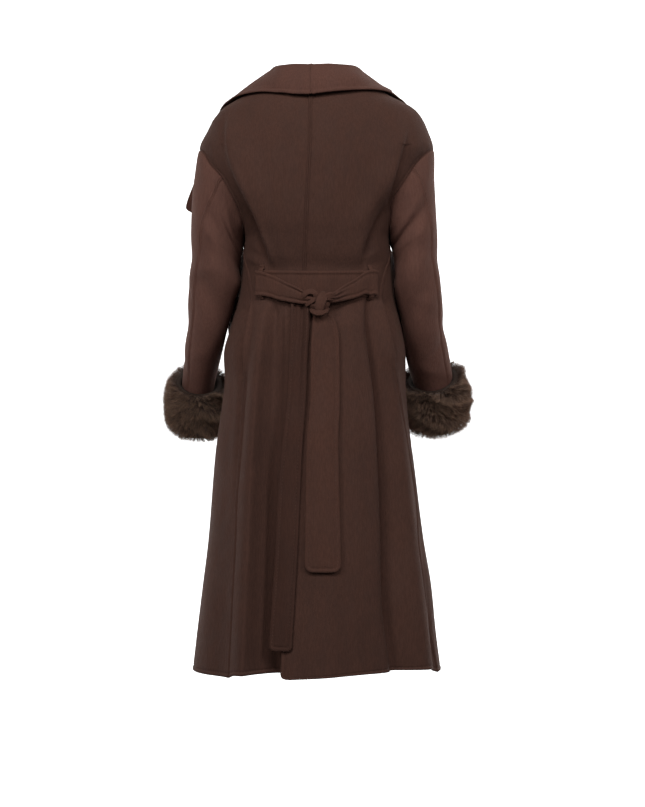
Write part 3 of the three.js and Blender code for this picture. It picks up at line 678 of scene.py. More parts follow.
def edge_relief(d):
    """A finished edge is a rounded ridge, with a line of hand stitches sunk beside it."""
    return 0.9 * bell(d - 2.8, 2.4) - 1.0 * bell(d - STITCH_LINE, 1.5)


def add_relief(grid, n, seams=(), edges=()):
    """A grid with a seam's or a finished edge's relief along its named edges."""
    away = edge_distances(grid)
    amount = np.zeros(grid.shape[:2])
    for name in seams:
        amount += seam_relief(away[name])
    for name in edges:
        amount += edge_relief(away[name])
    return grid + n * amount[..., None]


def draw_in(grid, names):
    """Draw a grid's edges in by half the seam gap."""
    half = SEAM_GAP / 2
    moved = grid.copy()
    if "first" in names:
        moved[:, 0] += half * unit(grid[:, 1] - grid[:, 0])
    if "last" in names:
        moved[:, -1] += half * unit(grid[:, -2] - grid[:, -1])
    return moved


def border(rows, columns):
    """The places of a grid's border, once round."""
    top = [(0, j) for j in range(columns)]
    last = [(i, columns - 1) for i in range(1, rows)]
    bottom = [(rows - 1, j) for j in range(columns - 2, -1, -1)]
    first = [(i, 0) for i in range(rows - 2, 0, -1)]
    return top + last + bottom + first


EDGE_ROUNDING = 0.42  # how far a free edge bulges, as a share of the cloth's thickness


def shell(name, grid, n, material, thickness=CLOTH, square=()):
    """A closed wall of cloth with rounded edges. Edges named in square stay flat, as at a seam."""
    rows, columns = grid.shape[:2]
    count = rows * columns
    inner = grid - n * thickness
    loop = border(rows, columns)
    middle = []
    for i, j in loop:
        inside = (min(max(i, 1), rows - 2), min(max(j, 1), columns - 2))
        out = grid[i, j] - grid[inside]
        flat = (
            ("first" in square and j == 0)
            or ("last" in square and j == columns - 1)
            or ("top" in square and i == 0)
            or ("bottom" in square and i == rows - 1)
        )
        bulge = 0.0 if flat else EDGE_ROUNDING * thickness
        middle.append(grid[i, j] - n[i, j] * thickness / 2 + bulge * out / max(np.linalg.norm(out), 1e-9))
    points = np.concatenate([grid.reshape(-1, 3), inner.reshape(-1, 3), np.array(middle)])
    at = np.arange(count).reshape(rows, columns)
    quads = np.stack([at[:-1, :-1], at[1:, :-1], at[1:, 1:], at[:-1, 1:]], axis=-1).reshape(-1, 4)
    facing = np.cross(np.gradient(grid, axis=0), np.gradient(grid, axis=1))
    reversed_grid = np.sum(facing * n) < 0
    if reversed_grid:
        quads = quads[:, ::-1]
    faces = quads.tolist() + (quads[:, ::-1] + count).tolist()
    around = len(loop)
    for k in range(around):
        following = (k + 1) % around
        a = at[loop[k]]
        b = at[loop[following]]
        c = 2 * count + k
        d = 2 * count + following
        outer = [a, b, d, c]
        lower = [c, d, b + count, a + count]
        if reversed_grid:
            outer.reverse()
            lower.reverse()
        faces.append([int(v) for v in outer])
        faces.append([int(v) for v in lower])
    return new_object(name, points, faces, material)


# Materials

def node_of(tree, kind, **inputs):
    """A new node with some of its inputs set, their names written with _ for each space."""
    made = tree.nodes.new(kind)
    for name, value in inputs.items():
        made.inputs[name.replace("_", " ")].default_value = value
    return made


def noise(tree, coordinates, scale, detail, stretch=(1, 1, 1)):
    """Noise from 0 to 1, drawn out along an axis where stretch is below 1."""
    mapping = node_of(tree, "ShaderNodeMapping", Scale=stretch)
    tree.links.new(coordinates, mapping.inputs["Vector"])
    made = node_of(tree, "ShaderNodeTexNoise", Scale=scale, Detail=detail, Roughness=0.6)
    tree.links.new(mapping.outputs["Vector"], made.inputs["Vector"])
    return made.outputs["Fac"]


def blend_colours(tree, share, low, high):
    """A colour between two others. Either may be a colour or another node's output."""
    made = tree.nodes.new("ShaderNodeMix")
    made.data_type = "RGBA"
    tree.links.new(share, made.inputs["Factor"])
    for socket, value in ((made.inputs["A"], low), (made.inputs["B"], high)):
        if isinstance(value, bpy.types.NodeSocket):
            tree.links.new(value, socket)
        else:
            socket.default_value = (*value, 1)
    return made.outputs["Result"]


def spread(tree, value, low, high, to_low=0.0, to_high=1.0):
    """A value from low to high, turned softly into one from to_low to to_high."""
    made = tree.nodes.new("ShaderNodeMapRange")
    made.interpolation_type = "SMOOTHSTEP"
    tree.links.new(value, made.inputs["Value"])
    made.inputs["From Min"].default_value = low
    made.inputs["From Max"].default_value = high
    made.inputs["To Min"].default_value = to_low
    made.inputs["To Max"].default_value = to_high
    return made.outputs["Result"]


def scaled(colour, by):
    return tuple(min(1.0, part * by) for part in colour)


def wool(name, colour, sheen=0.12, grain=1.0):
    """Brushed wool: cloudy nap, lengthwise streaks, single fibres and a soft glow at grazing angles."""
    material = bpy.data.materials.new(name)
    material.use_nodes = True
    tree = material.node_tree
    shader = tree.nodes["Principled BSDF"]
    place = tree.nodes.new("ShaderNodeTexCoord").outputs["Object"]
    cloud = spread(tree, noise(tree, place, 7, 3), 0.3, 0.7)
    patch = spread(tree, noise(tree, place, 42, 4, (1, 1, 0.45)), 0.3, 0.7)
    streak = spread(tree, noise(tree, place, 420, 3, (1, 1, 0.16)), 0.32, 0.68)
    fibre = noise(tree, place, 1500, 2, (1, 1, 0.5))
    base = blend_colours(tree, cloud, scaled(colour, 0.9), scaled(colour, 1.1))
    base = blend_colours(tree, spread(tree, patch, 0, 1, 0, 0.5), base, scaled(colour, 1.22))
    base = blend_colours(tree, spread(tree, streak, 0, 1, 0, 0.34), base, scaled(colour, 0.62))
    base = blend_colours(tree, spread(tree, fibre, 0.45, 0.75, 0, 0.3), base, scaled(colour, 1.7))
    tree.links.new(base, shader.inputs["Base Color"])
    relief = tree.nodes.new("ShaderNodeMath")
    relief.operation = "ADD"
    tree.links.new(spread(tree, streak, 0, 1, 0, 0.6), relief.inputs[0])
    tree.links.new(fibre, relief.inputs[1])
    bump = node_of(tree, "ShaderNodeBump", Strength=0.55 * grain, Distance=0.0007)
    tree.links.new(relief.outputs["Value"], bump.inputs["Height"])
    tree.links.new(bump.outputs["Normal"], shader.inputs["Normal"])
    tree.links.new(spread(tree, patch, 0, 1, 0.84, 0.96), shader.inputs["Roughness"])
    shader.inputs["Specular IOR Level"].default_value = 0.22
    shader.inputs["Sheen Weight"].default_value = sheen
    shader.inputs["Sheen Roughness"].default_value = 0.42
    shader.inputs["Sheen Tint"].default_value = (0.45, 0.28, 0.22, 1)
    return material


def fur_material(name, root, tip):
    """Fur hairs, dark at the root and lighter at the tip. Each hair has its own shade."""
    material = bpy.data.materials.new(name)
    material.use_nodes = True
    tree = material.node_tree
    shader = tree.nodes["Principled BSDF"]
    along = tree.nodes.new("ShaderNodeAttribute")
    along.attribute_name = "along"
    shade = tree.nodes.new("ShaderNodeAttribute")
    shade.attribute_name = "shade"
    share = spread(tree, along.outputs["Fac"], 0.35, 1.0)
    base = blend_colours(tree, share, root, tip)
    base = blend_colours(tree, spread(tree, shade.outputs["Fac"], 0, 1, 0, 0.7), base, scaled(root, 0.55))
    tree.links.new(base, shader.inputs["Base Color"])
    shader.inputs["Roughness"].default_value = 0.62
    shader.inputs["Specular IOR Level"].default_value = 0.35
    shader.inputs["Sheen Weight"].default_value = 0.2
    shader.inputs["Sheen Roughness"].default_value = 0.4
    shader.inputs["Sheen Tint"].default_value = (0.7, 0.55, 0.42, 1)
    return material


WOOL = wool("wool of the body", (0.078, 0.0355, 0.0255))
# The collar's wool is the body's wool painted lighter: painted light, for the light that falls on its upper
# surfaces.
COLLAR_WOOL_PAINTED_LIGHT = wool("collar wool with painted light", (0.112, 0.050, 0.037), sheen=0.15)
# The sleeves' wool is the body's wool painted much lighter: painted light, for the light that falls on the
# sleeves.
SLEEVE_WOOL_PAINTED_LIGHT = wool("sleeve wool with painted light", (0.132, 0.060, 0.045))
# The belt's wool is the body's wool painted a little lighter: painted light, for the light on the belt and
# its wide end, which stand out from the coat.
BELT_WOOL_PAINTED_LIGHT = wool("belt wool with painted light", (0.084, 0.037, 0.026), grain=0.8)
# The long end's wool is the belt's wool painted darker: painted shade, for the shadow of the recess that it
# hangs in.
TAIL_WOOL_PAINTED_SHADE = wool("long end wool with painted shade", (0.062, 0.027, 0.019), grain=0.8)
THREAD = wool("sewing thread", (0.098, 0.053, 0.040), sheen=0.1, grain=0.4)
FUR_HAIR = fur_material("fur", (0.100, 0.062, 0.047), (0.48, 0.30, 0.205))
# The hide under the fur is a real part; its near-black colour is painted shade, for the shadow deep between
# the hairs.
FUR_UNDER_PAINTED_SHADE = wool("fur underside with painted shade", (0.034, 0.020, 0.014), sheen=0.0)


# Stitches

STITCH_SIDES = 5
STITCH_SUNK = 0.15  # how far a stitch's ends lie in the cloth


def stitches(name, points, n, pitch=6.5, long=3.8, thick=0.42):
    """Hand stitches along a line of points on the cloth, each a small spindle lying on it."""
    steps = np.concatenate([[0], np.cumsum(length(np.diff(points, axis=0))[:, 0])])
    places = np.arange(pitch / 2, steps[-1], pitch)
    centre = np.stack([np.interp(places, steps, points[:, k]) for k in range(3)], axis=-1)
    ahead = np.stack([np.interp(places + 1, steps, points[:, k]) for k in range(3)], axis=-1)
    up = unit(np.stack([np.interp(places, steps, n[:, k]) for k in range(3)], axis=-1))
    along = unit(ahead - centre)
    side = np.cross(along, up)
    ring = [(along * -long / 2, 0), (along * -long / 4, 1), (along * long / 4, 1), (along * long / 2, 0)]
    corners = []
    for offset, wide in ring:
        if wide == 0:
            corners.append(centre + offset - up * STITCH_SUNK)
            continue
        for k in range(STITCH_SIDES):
            a = 2 * math.pi * k / STITCH_SIDES
            corners.append(centre + offset + (side * math.cos(a) + up * math.sin(a)) * thick)
    made = np.stack(corners, axis=1)
    last = made.shape[1] - 1
    faces = []
    for k in range(STITCH_SIDES):
        near, near_next = 1 + k, 1 + (k + 1) % STITCH_SIDES
        far, far_next = near + STITCH_SIDES, near_next + STITCH_SIDES
        faces.append([0, near_next, near])
        faces.append([near, near_next, far_next, far])
        faces.append([far, far_next, last])
    every = [[v + (last + 1) * stitch for v in face] for stitch in range(len(made)) for face in faces]
    return new_object(name, made.reshape(-1, 3), every, THREAD)


def at_distance(grid, n, name, distance):
    """The line on a grid at a distance from one of its edges, with the directions out along it."""
    away = edge_distances(grid)[name]
    if name in ("top", "bottom"):
        away, grid, n = away.T, grid.swapaxes(0, 1), n.swapaxes(0, 1)
    line = []
    outs = []
    for far, places, directions in zip(away, grid, n):
        order = np.argsort(far)
        line.append([np.interp(distance, far[order], places[order, k]) for k in range(3)])
        outs.append([np.interp(distance, far[order], directions[order, k]) for k in range(3)])
    return np.array(line), np.array(outs)


# Rows and columns of the panels, closer together towards hems and seams

def spaced(count, close, edge_first=True):
    """Shares from 0 to 1 with closer ones at the end, and at the start too unless told otherwise."""
    small = np.array([0, 0.16, 0.32, 0.5, 0.7, 0.92, 1.2, 1.6, 2.2, 3.0]) * close
    start = small if edge_first else np.array([0.0])
    end = 1 - small[::-1]
    return np.concatenate([start, np.linspace(start[-1], end[0], count)[1:-1], end])


def armhole_z(turn):
    """The armhole seam's height at a turn in degrees, 0 at its top and 180 at the underarm."""
    middle = (ARMHOLE_TOP_Z + UNDERARM_Z) / 2
    half = (ARMHOLE_TOP_Z - UNDERARM_Z) / 2
    return middle + half * np.cos(np.radians(turn))


def panel_heights():
    """The heights of a panel's rows, from the neck to the hem."""
    shoulder = np.concatenate([np.arange(NECK_Z, -30, -3.5), np.arange(-30, -104, -5)])
    armhole = armhole_z(np.arange(0, 181, 6))
    skirt = np.concatenate([np.arange(-285, -470, -5.0), np.arange(-470, -1085, -8.0)])
    hem = HEM_Z + np.array([13, 10.5, 9, 7.6, 6.4, 5.2, 4, 2.8, 1.4, 0])
    return np.concatenate([shoulder, armhole, skirt, hem])


def outer_edge(z, side, front):
    """A panel's outer edge: the shoulder seam, then the armhole, then the side seam."""
    sign = -1 if side == "left" else 1
    seam = getattr(ARMHOLE, side + ("Front" if front else "Back"))
    on_armhole = np.abs(wrap_angle(theta_at(sign * seam(z), z, front)))
    on_side = np.radians(getattr(SIDE_SEAM, side)(z))
    turn = np.where(z > ARMHOLE_TOP_Z, np.pi / 2, np.where(z < UNDERARM_Z, on_side, on_armhole))
    at_corner = (np.abs(z - ARMHOLE_TOP_Z) < 0.01) | (np.abs(z - UNDERARM_Z) < 0.01)
    return sign * np.where(at_corner, np.pi / 2, turn)


# The pockets open in the side seams: the back's edge stands away and the front's passes under it
POCKETS = {"left": (-402, -552), "right": (-386, -530)}
POCKET_LIFT = 5.5
POCKET_UNDERLAP = 10
POCKET_SINK = CLOTH + 6.0
POCKET_RADIUS = 150  # about how far the side seams lie from the axis there


def pocket_share(side, z):
    """How far a pocket is open at a height, from 0 to 1."""
    top, foot = POCKETS[side]
    return smooth(-z, -top, -top + 26) * (1 - smooth(-z, -foot - 30, -foot))


BACK_COLUMNS = {"left": 84, "right": 92}
FRONT_COLUMNS = 50
CENTRE_SEAM_RELIEF = 1.3  # how much higher the centre seam's ridge stands than the others'
OFF_EDGE = 1e3  # takes the centre seam's own edge out of the reach of the finished edge's relief

# How far each back half's hem rises above HEM_Z, from the centre back to the side seam
HEM_RISE = {
    "left": smooth_curve([0, 0.5, 0.85, 1], [0, 8, 7, 0]),
    "right": smooth_curve([0, 0.3, 0.6, 0.88, 1], [0, 6, 9, 10, 0]),
}
HEM_RISE_SPAN = 160


def back_panel(side):
    """A back half. Its points and directions are given back for the hem's stitches."""
    left_back = side == "left"
    heights = panel_heights()
    share = spaced(BACK_COLUMNS[side], 0.024)
    drop = NAPE_DROP * np.maximum(0, (heights - NAPE_FROM_Z) / (NECK_Z - NAPE_FROM_Z)) ** 2
    centre_z = heights - drop
    centre_x = CENTRE_BACK.x(centre_z)
    if left_back:
        centre_x = centre_x + vent_underlap(heights)
    else:
        rise = np.clip(HEM_Z + HEM_CORNER - heights, 0, HEM_CORNER)
        centre_x = centre_x + HEM_CORNER - np.sqrt(HEM_CORNER**2 - rise**2)
    centre = theta_at(centre_x, centre_z)
    edge = outer_edge(heights, side, False)
    z = centre_z[:, None] + drop[:, None] * share**2
    z = z + smooth(-heights, -HEM_Z - HEM_RISE_SPAN, -HEM_Z)[:, None] * HEM_RISE[side](share)
    theta = centre[:, None] + (edge - centre)[:, None] * share
    grid = coat(theta, z, left_back=left_back)
    n = grid_normals(grid, unit(grid * [1, 1, 0]))
    away = edge_distances(grid)
    lift = POCKET_LIFT * pocket_share(side, heights)[:, None] * (1 - smooth(away["last"], 0, 30))
    grid = grid + n * lift[..., None]
    on_seam = heights > VENT_TOP_Z
    free = away["bottom"] if left_back else np.where(on_seam, OFF_EDGE, 1)[:, None] * away["first"]
    free = np.minimum(free, away["bottom"])
    no_pocket = (1 - pocket_share(side, heights))[:, None]
    relief = seam_relief(away["last"]) * no_pocket + edge_relief(free)
    relief = relief + CENTRE_SEAM_RELIEF * seam_relief(away["first"]) * on_seam[:, None]
    grid = grid + n * relief[..., None]
    grid = draw_in(grid, ["first", "last"])
    n = grid_normals(grid, n)
    name = f"back_{side}"
    piece = shell(f"{name}_cloth", grid, n, WOOL, square=["last"])
    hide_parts(name)
    return grid, n


def front_lift(side, theta):
    """How far the right front stands out to lie over the left one."""
    if side == "left":
        return np.zeros(np.shape(theta))
    return OVERLAP_LIFT * smooth(np.abs(theta), math.radians(120), math.radians(150))


def front_panel(side):
    """A front, from its edge to the side seam, where it passes under the back's pocket."""
    sign = -1 if side == "left" else 1
    heights = panel_heights()
    share = spaced(FRONT_COLUMNS, 0.022)
    outer = np.abs(outer_edge(heights, side, True))
    pocket = pocket_share(side, heights)
    outer = outer - POCKET_UNDERLAP / POCKET_RADIUS * pocket
    inner = np.radians(FRONT_EDGE.turn(heights))
    theta = sign * (inner[:, None] + (outer - inner)[:, None] * share)
    z = heights[:, None] + 0 * share
    grid = coat(theta, z, extra=front_lift(side, theta))
    n = grid_normals(grid, unit(grid * [1, 1, 0]))
    away = edge_distances(grid)
    sink = POCKET_SINK * pocket[:, None] * (1 - smooth(away["last"], 10, 38))
    grid = grid - n * sink[..., None]
    seam = seam_relief(away["last"]) * (1 - pocket[:, None])
    grid = add_relief(grid, n, edges=["first", "bottom"]) + n * seam[..., None]
    grid = draw_in(grid, ["last"])
    n = grid_normals(grid, n)
    name = f"front_{side}"
    piece = shell(f"{name}_cloth", grid, n, WOOL, square=["last"])
    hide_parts(name)
    return grid, n


# Sleeves

SLEEVE_COLUMNS = ["ring", "outX", "outZ", "inX", "inZ", "y", "depth", "tilt", "twist"]
SLEEVES = {
    "left": table(SLEEVE_COLUMNS, [
        [0, 223, -105, 138, -278, 2, 76, 0, 0],
        [1, 229, -135, 141, -288, 1, 75, 0, -6],
        [2, 236, -180, 143, -304, -1, 72, 0, 3],
        [3, 239, -235, 145, -328, -3, 69, 0, 14],
        [4, 241, -298, 143, -362, -3, 66, 2, 24],
        [5, 244, -352, 156, -397, 4, 63, 7, 29],
        [6, 249, -420, 169, -447, 22, 59, 15, 29],
        [7, 255, -482, 184, -500, 50, 54, 22, 27],
        [8, 260, -532, 196, -545, 76, 50, 26, 24],
        [9, 265, -570, 204, -580, 94, 48, 26, 24],
    ]),
    "right": table(SLEEVE_COLUMNS, [
        [0, 225, -105, 142, -278, 2, 76, 0, 0],
        [1, 226, -130, 145, -288, 1, 75, 0, -6],
        [2, 228, -180, 148, -304, -1, 72, 0, 3],
        [3, 231, -236, 150, -328, -3, 69, 0, 14],
        [4, 235, -300, 148.5, -362, -3, 66, 2, 20],
        [5, 240, -360, 155, -397, 4, 63, 7, 25],
        [6, 247, -425, 166, -447, 22, 59, 15, 25],
        [7, 256, -482, 174, -500, 50, 54, 22, 22],
        [8, 265, -528, 188, -545, 76, 50, 26, 22],
        [9, 271, -566, 203, -580, 94, 48, 26, 22],
    ]),
}

# Soft creases round the sleeves: where they lie along and round the arm, and their slope
SLEEVE_CREASE_COLUMNS = ["ring", "turn", "slope", "out", "along", "round"]
BOTH_SLEEVES = [
    [2.6, 120, 0.9, -5, 0.5, 60],
    [3.9, 60, -0.8, -4, 0.45, 60],
    [5.0, 110, 0.8, -4.5, 0.4, 70],
    [6.2, 40, -0.7, -4, 0.4, 60],
    [4.6, 270, 0.6, -5, 0.4, 60],
    [5.6, 300, -0.6, -4.5, 0.4, 60],
]
SLEEVE_CREASES = {
    "left": BOTH_SLEEVES + [
        [1.5, 118, 1.6, 3.4, 0.22, 34],
        [2.1, 134, 1.2, -3.6, 0.2, 30],
        [3.1, 100, 0.5, 2.2, 0.25, 34],
        [4.5, 84, -0.9, 2.4, 0.22, 36],
        [5.5, 62, 0.8, -2.4, 0.2, 30],
        [6.9, 96, -0.5, 2.2, 0.24, 40],
        [7.5, 40, 0.6, -2.4, 0.22, 44],
        [3.4, 200, 0.6, -3.0, 0.3, 40],
        [5.2, 232, -0.7, 2.6, 0.26, 36],
        [6.6, 262, 0.5, -2.6, 0.25, 40],
    ],
    "right": BOTH_SLEEVES + [
        [1.9, 116, -0.5, -5.5, 0.36, 46],
        [1.3, 124, -0.4, 3.4, 0.2, 34],
        [2.8, 104, -0.9, 2.8, 0.24, 34],
        [4.2, 80, 1.0, -2.6, 0.24, 30],
        [5.3, 100, -0.7, 2.4, 0.22, 36],
        [6.6, 64, 0.7, -2.4, 0.2, 34],
        [7.4, 110, -0.5, 2.0, 0.24, 40],
        [3.6, 214, -0.6, -3.2, 0.3, 40],
        [5.0, 246, 0.7, 2.4, 0.26, 36],
        [6.9, 280, -0.5, -2.6, 0.24, 40],
    ],
}
# The places of the sleeves' seams, in degrees round the arm from its outside towards the back
BACK_SEAM_TURN = {"left": 72, "right": 60}
FRONT_SEAM_TURN = 288


def armhole_seam(side, turn):
    """The armhole's seam, turning from its top over the back to the underarm and up the front."""
    z = armhole_z(turn)
    back = outer_edge(z, side, False)
    front = outer_edge(z, side, True)
    theta = np.where(turn > 180, front, back)
    return coat(theta, z), coat_normal(theta, z)


def sleeve_surface(side, turn, ring):
    """The sleeve's outside, for a row of turns in degrees and a column of rings."""
    rings = SLEEVES[side]
    sign = -1 if side == "left" else 1
    turn, ring = turn[None, :], ring[:, None]
    a = np.radians(turn - rings.twist(ring))
    tilt = np.radians(rings.tilt(ring))
    outer = stack(sign * rings.outX(ring), rings.y(ring), rings.outZ(ring))
    inner = stack(sign * rings.inX(ring), rings.y(ring), rings.inZ(ring))
    forward = stack(0, np.cos(tilt), np.sin(tilt)) * rings.depth(ring)[..., None]
    spoke = (outer - inner) / 2 * np.cos(a)[..., None] - forward * np.sin(a)[..., None]
    crease = np.zeros(a.shape)
    for row in SLEEVE_CREASES[side]:
        fold = named(SLEEVE_CREASE_COLUMNS, row)
        away = np.degrees(wrap_angle(np.radians(turn - fold.turn)))
        along = (ring - fold.ring - fold.slope * away / 90) / fold.along
        crease = crease + fold.out * np.exp(-(along**2) - (away / fold.round) ** 2)
    point = (outer + inner) / 2 + spoke + unit(spoke) * crease[..., None]
    on_seam = (1 - smooth(ring, 0, 1.6))[..., None]
    seam, _ = armhole_seam(side, np.mod(turn[0], 360))
    return point + (seam[None] - point) * on_seam


SLEEVE_HEAD_PUFF = 2.2
SLEEVE_HEAD_DIP = 1.2
SLEEVE_CLEARANCE = 0.4


def sleeve_piece(side, part):
    """The upper or the under piece of a sleeve."""
    under = part == "under"
    back_seam = BACK_SEAM_TURN[side]
    first, last = (back_seam, FRONT_SEAM_TURN) if under else (FRONT_SEAM_TURN - 360, back_seam)
    turns = first + (last - first) * spaced(50 if under else 36, 0.014)
    rings = np.concatenate([[0, 0.02, 0.05, 0.08, 0.12, 0.16, 0.22], np.arange(0.3, 8.95, 0.09), [9]])
    grid = sleeve_surface(side, turns, rings)
    middle = grid.mean(axis=1, keepdims=True)
    n = grid_normals(grid, unit(grid - middle))
    _, body = armhole_seam(side, np.mod(turns, 360))
    start = unit(grid[1] - grid[0]) * SEAM_GAP + body * SLEEVE_CLEARANCE
    fade = (1 - smooth(rings, 0, 0.3))[:, None, None]
    grid = grid + start[None] * fade
    away = edge_distances(grid)
    puff = SLEEVE_HEAD_PUFF * smooth(away["top"], 0, 7) * (1 - smooth(away["top"], 12, 60))
    dip = -SLEEVE_HEAD_DIP * bell(away["top"], 1.8)
    grid = add_relief(grid, n, seams=["first", "last"]) + n * (puff + dip)[..., None]
    grid = draw_in(grid, ["first", "last"])
    n = grid_normals(grid, n)
    name = f"sleeve_{part}_{side}"
    piece = shell(f"{name}_cloth", grid, n, SLEEVE_WOOL_PAINTED_LIGHT, square=["first", "last", "top"])
    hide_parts(name)


# Fur cuffs

# Out of the sleeve's end, by the share of the cuff's length: to the hide's outside, and the hairs' length
CUFF_COLUMNS = ["along", "skin", "hair"]
CUFF_PROFILE = table(CUFF_COLUMNS, [
    [0, 6, 10],
    [0.06, 9, 16],
    [0.2, 11, 22],
    [0.5, 12, 26],
    [0.8, 11, 23],
    [0.94, 9, 16],
    [1, 6, 11],
])
CUFFS = {
    "left": dict(top=(-226, 70, -524), end=(-237, 124, -642), half_width=35.2, half_depth=53.8),
    "right": dict(top=(223, 68, -516), end=(243, 124, -634), half_width=39, half_depth=56),
}
HIDE_OUTSIDE = (0.24, 0.93)
HIDE_INSIDE = (0.94, 0.23)
FUR_SPAN = (0.235, 0.92)
FUR_MIDDLE = 0.58
FUR_HALF = 0.345
FUR_DROOP = np.array([0, 0, -0.16])
HAIR_LIFT = np.array([0, 0, 0.05])
HAIRS = 38000
CLUMPS = 1500
# A hair's blade: the width at each share of its length, and none at the tip
HAIR_WIDTHS = {0: 0.42, 0.38: 0.4, 0.72: 0.28, 1: 0}
HAIR_POINTS = 7


def cuff_frame(side):
    """A cuff's ends, its axis down the arm, its two ways across, and its half sizes."""
    size = CUFFS[side]
    top = np.array(size["top"], float)
    end = np.array(size["end"], float)
    axis = (end - top) / np.linalg.norm(end - top)
    across = unit(np.array([1.0, 0, 0]) - axis * axis[0])
    forward = np.cross(axis, across)
    return top, end, axis, across, forward, size["half_width"], size["half_depth"]


def cuff_surface(side, along, turn, out):
    """Points at a distance out from the sleeve's end, by the share along the cuff and the turn round it."""
    top, end, _, across, forward, half_width, half_depth = cuff_frame(side)
    middle = top + (end - top) * np.asarray(along)[..., None]
    return (
        middle
        + across * ((half_width + out) * np.cos(turn))[..., None]
        + forward * ((half_depth + out) * np.sin(turn))[..., None]
    )


def cuff_skin(side):
    """The hide under the fur, a closed ring with an open way through for the hand. Its near-black colour is
    painted shade, for the shadow deep between the hairs.
    """
    spans = 60
    outside = np.linspace(*HIDE_OUTSIDE, 14)
    inside = np.linspace(*HIDE_INSIDE, 8)
    along = np.concatenate([outside, inside])
    out = np.concatenate([CUFF_PROFILE.skin(outside), np.full(len(inside), 1.0)])
    turn = np.linspace(0, 2 * np.pi, spans, endpoint=False)
    points = cuff_surface(side, along[:, None] + 0 * turn, turn[None] + 0 * along[:, None], out[:, None])
    loops = len(along)
    at = np.arange(loops * spans).reshape(loops, spans)
    beside = np.roll(at, -1, axis=1)
    below = np.roll(at, -1, axis=0)
    faces = np.stack([at, beside, np.roll(beside, -1, axis=0), below], axis=-1).reshape(-1, 4).tolist()
    piece = new_object(f"cuff_{side}_hide", points.reshape(-1, 3), faces, FUR_UNDER_PAINTED_SHADE)
    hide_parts(f"cuff_{side}")


def ripple(places, turns, random, count):
    """Soft random waves over the cuff, as one number for each place."""
    total = np.zeros(len(places))
    for _ in range(count):
        pace = random.uniform(2, 9)
        rounds = random.integers(1, 9)
        phase = random.uniform(0, 2 * np.pi)
        total += np.sin(pace * places * np.pi + rounds * turns + phase)
    return total / math.sqrt(count)


def hair_directions(side, places, turns, random):
    """The ways that the hairs stand: out, away from the cuff's middle, drooping, and waved."""
    _, _, axis, across, forward, half_width, half_depth = cuff_frame(side)
    wide = (np.cos(turns) / half_width)[:, None]
    deep = (np.sin(turns) / half_depth)[:, None]
    radial = unit(across * wide + forward * deep)
    from_middle = (places - FUR_MIDDLE) / FUR_HALF
    lean = 0.55 * np.sign(from_middle) * np.abs(from_middle) ** 2.2
    direction = radial + axis * lean[:, None] + FUR_DROOP
    direction += axis * (0.28 * ripple(places, turns, random, 7))[:, None]
    direction += np.cross(axis, radial) * (0.30 * ripple(places, turns, random, 7))[:, None]
    direction += random.normal(0, 0.13, (HAIRS, 3))
    return unit(direction)


def hair_lengths(places, turns, random):
    """Uneven lengths, with a few guard hairs that stand past the rest."""
    lengths = CUFF_PROFILE.hair(places) * (1 + 0.10 * ripple(places, turns, random, 6))
    lengths = lengths * random.uniform(0.72, 1.12, HAIRS)
    guard = random.random(HAIRS) < 0.08
    return np.where(guard, lengths * 1.16, lengths)


def draw_into_tufts(side, root, tip, random):
    """Tips drawn towards the mean tip of their tuft, and each hair's tuft."""
    tuft_place = random.uniform(0, 1, CLUMPS)
    tuft_turn = random.uniform(0, 2 * np.pi, CLUMPS)
    tuft = cuff_surface(side, tuft_place, tuft_turn, CUFF_PROFILE.skin(tuft_place))
    nearest = np.empty(HAIRS, int)
    for start in range(0, HAIRS, 2000):
        batch = slice(start, start + 2000)
        apart = ((root[batch, None] - tuft[None]) ** 2).sum(axis=-1)
        nearest[batch] = apart.argmin(axis=1)
    sums = np.zeros((CLUMPS, 3))
    np.add.at(sums, nearest, tip)
    count = np.maximum(np.bincount(nearest, minlength=CLUMPS), 1)
    gathered = (sums / count[:, None])[nearest]
    pull = random.uniform(0.25, 0.6, HAIRS)[:, None]
    return tip + (gathered - tip) * pull, nearest


def cuff_fur(side):
    """Hairs as narrow curved blades, drawn together in tufts, that stand out and droop a little."""
    random = np.random.default_rng(SEED if side == "left" else SEED + 1)
    places = random.uniform(*FUR_SPAN, HAIRS)
    turns = random.uniform(0, 2 * np.pi, HAIRS)
    root = cuff_surface(side, places, turns, CUFF_PROFILE.skin(places) - 1)
    direction = hair_directions(side, places, turns, random)
    lengths = hair_lengths(places, turns, random)[:, None]
    tip = root + direction * lengths
    tip, nearest = draw_into_tufts(side, root, tip, random)
    curve = (random.normal(0, 0.09, (HAIRS, 3)) + HAIR_LIFT) * lengths
    flat = unit(np.cross(direction, random.normal(0, 1, (HAIRS, 3))))
    lines = []
    alongs = []
    for share, width in HAIR_WIDTHS.items():
        middle = root + (tip - root) * share + curve * (4 * share * (1 - share))
        sides = [-width / 2, width / 2] if width else [0]
        for half in sides:
            lines.append(middle + flat * half)
            alongs.append(share)
    points = np.stack(lines, axis=1).reshape(-1, 3)
    start = np.arange(HAIRS)[:, None] * HAIR_POINTS
    quads = np.concatenate([start + [0, 1, 3, 2], start + [2, 3, 5, 4]])
    tips = start + [4, 5, 6]
    piece = new_object(f"cuff_{side}_fur", points, quads.tolist() + tips.tolist(), FUR_HAIR)
    shades = 0.6 * random.random(HAIRS) + 0.4 * random.random(CLUMPS)[nearest]
    values = {"along": np.tile(alongs, HAIRS), "shade": np.repeat(shades, HAIR_POINTS)}
    for name, value in values.items():
        attribute = piece.data.attributes.new(name, "FLOAT", "POINT")
        attribute.data.foreach_set("value", value.astype(np.float32))


# The shawl collar

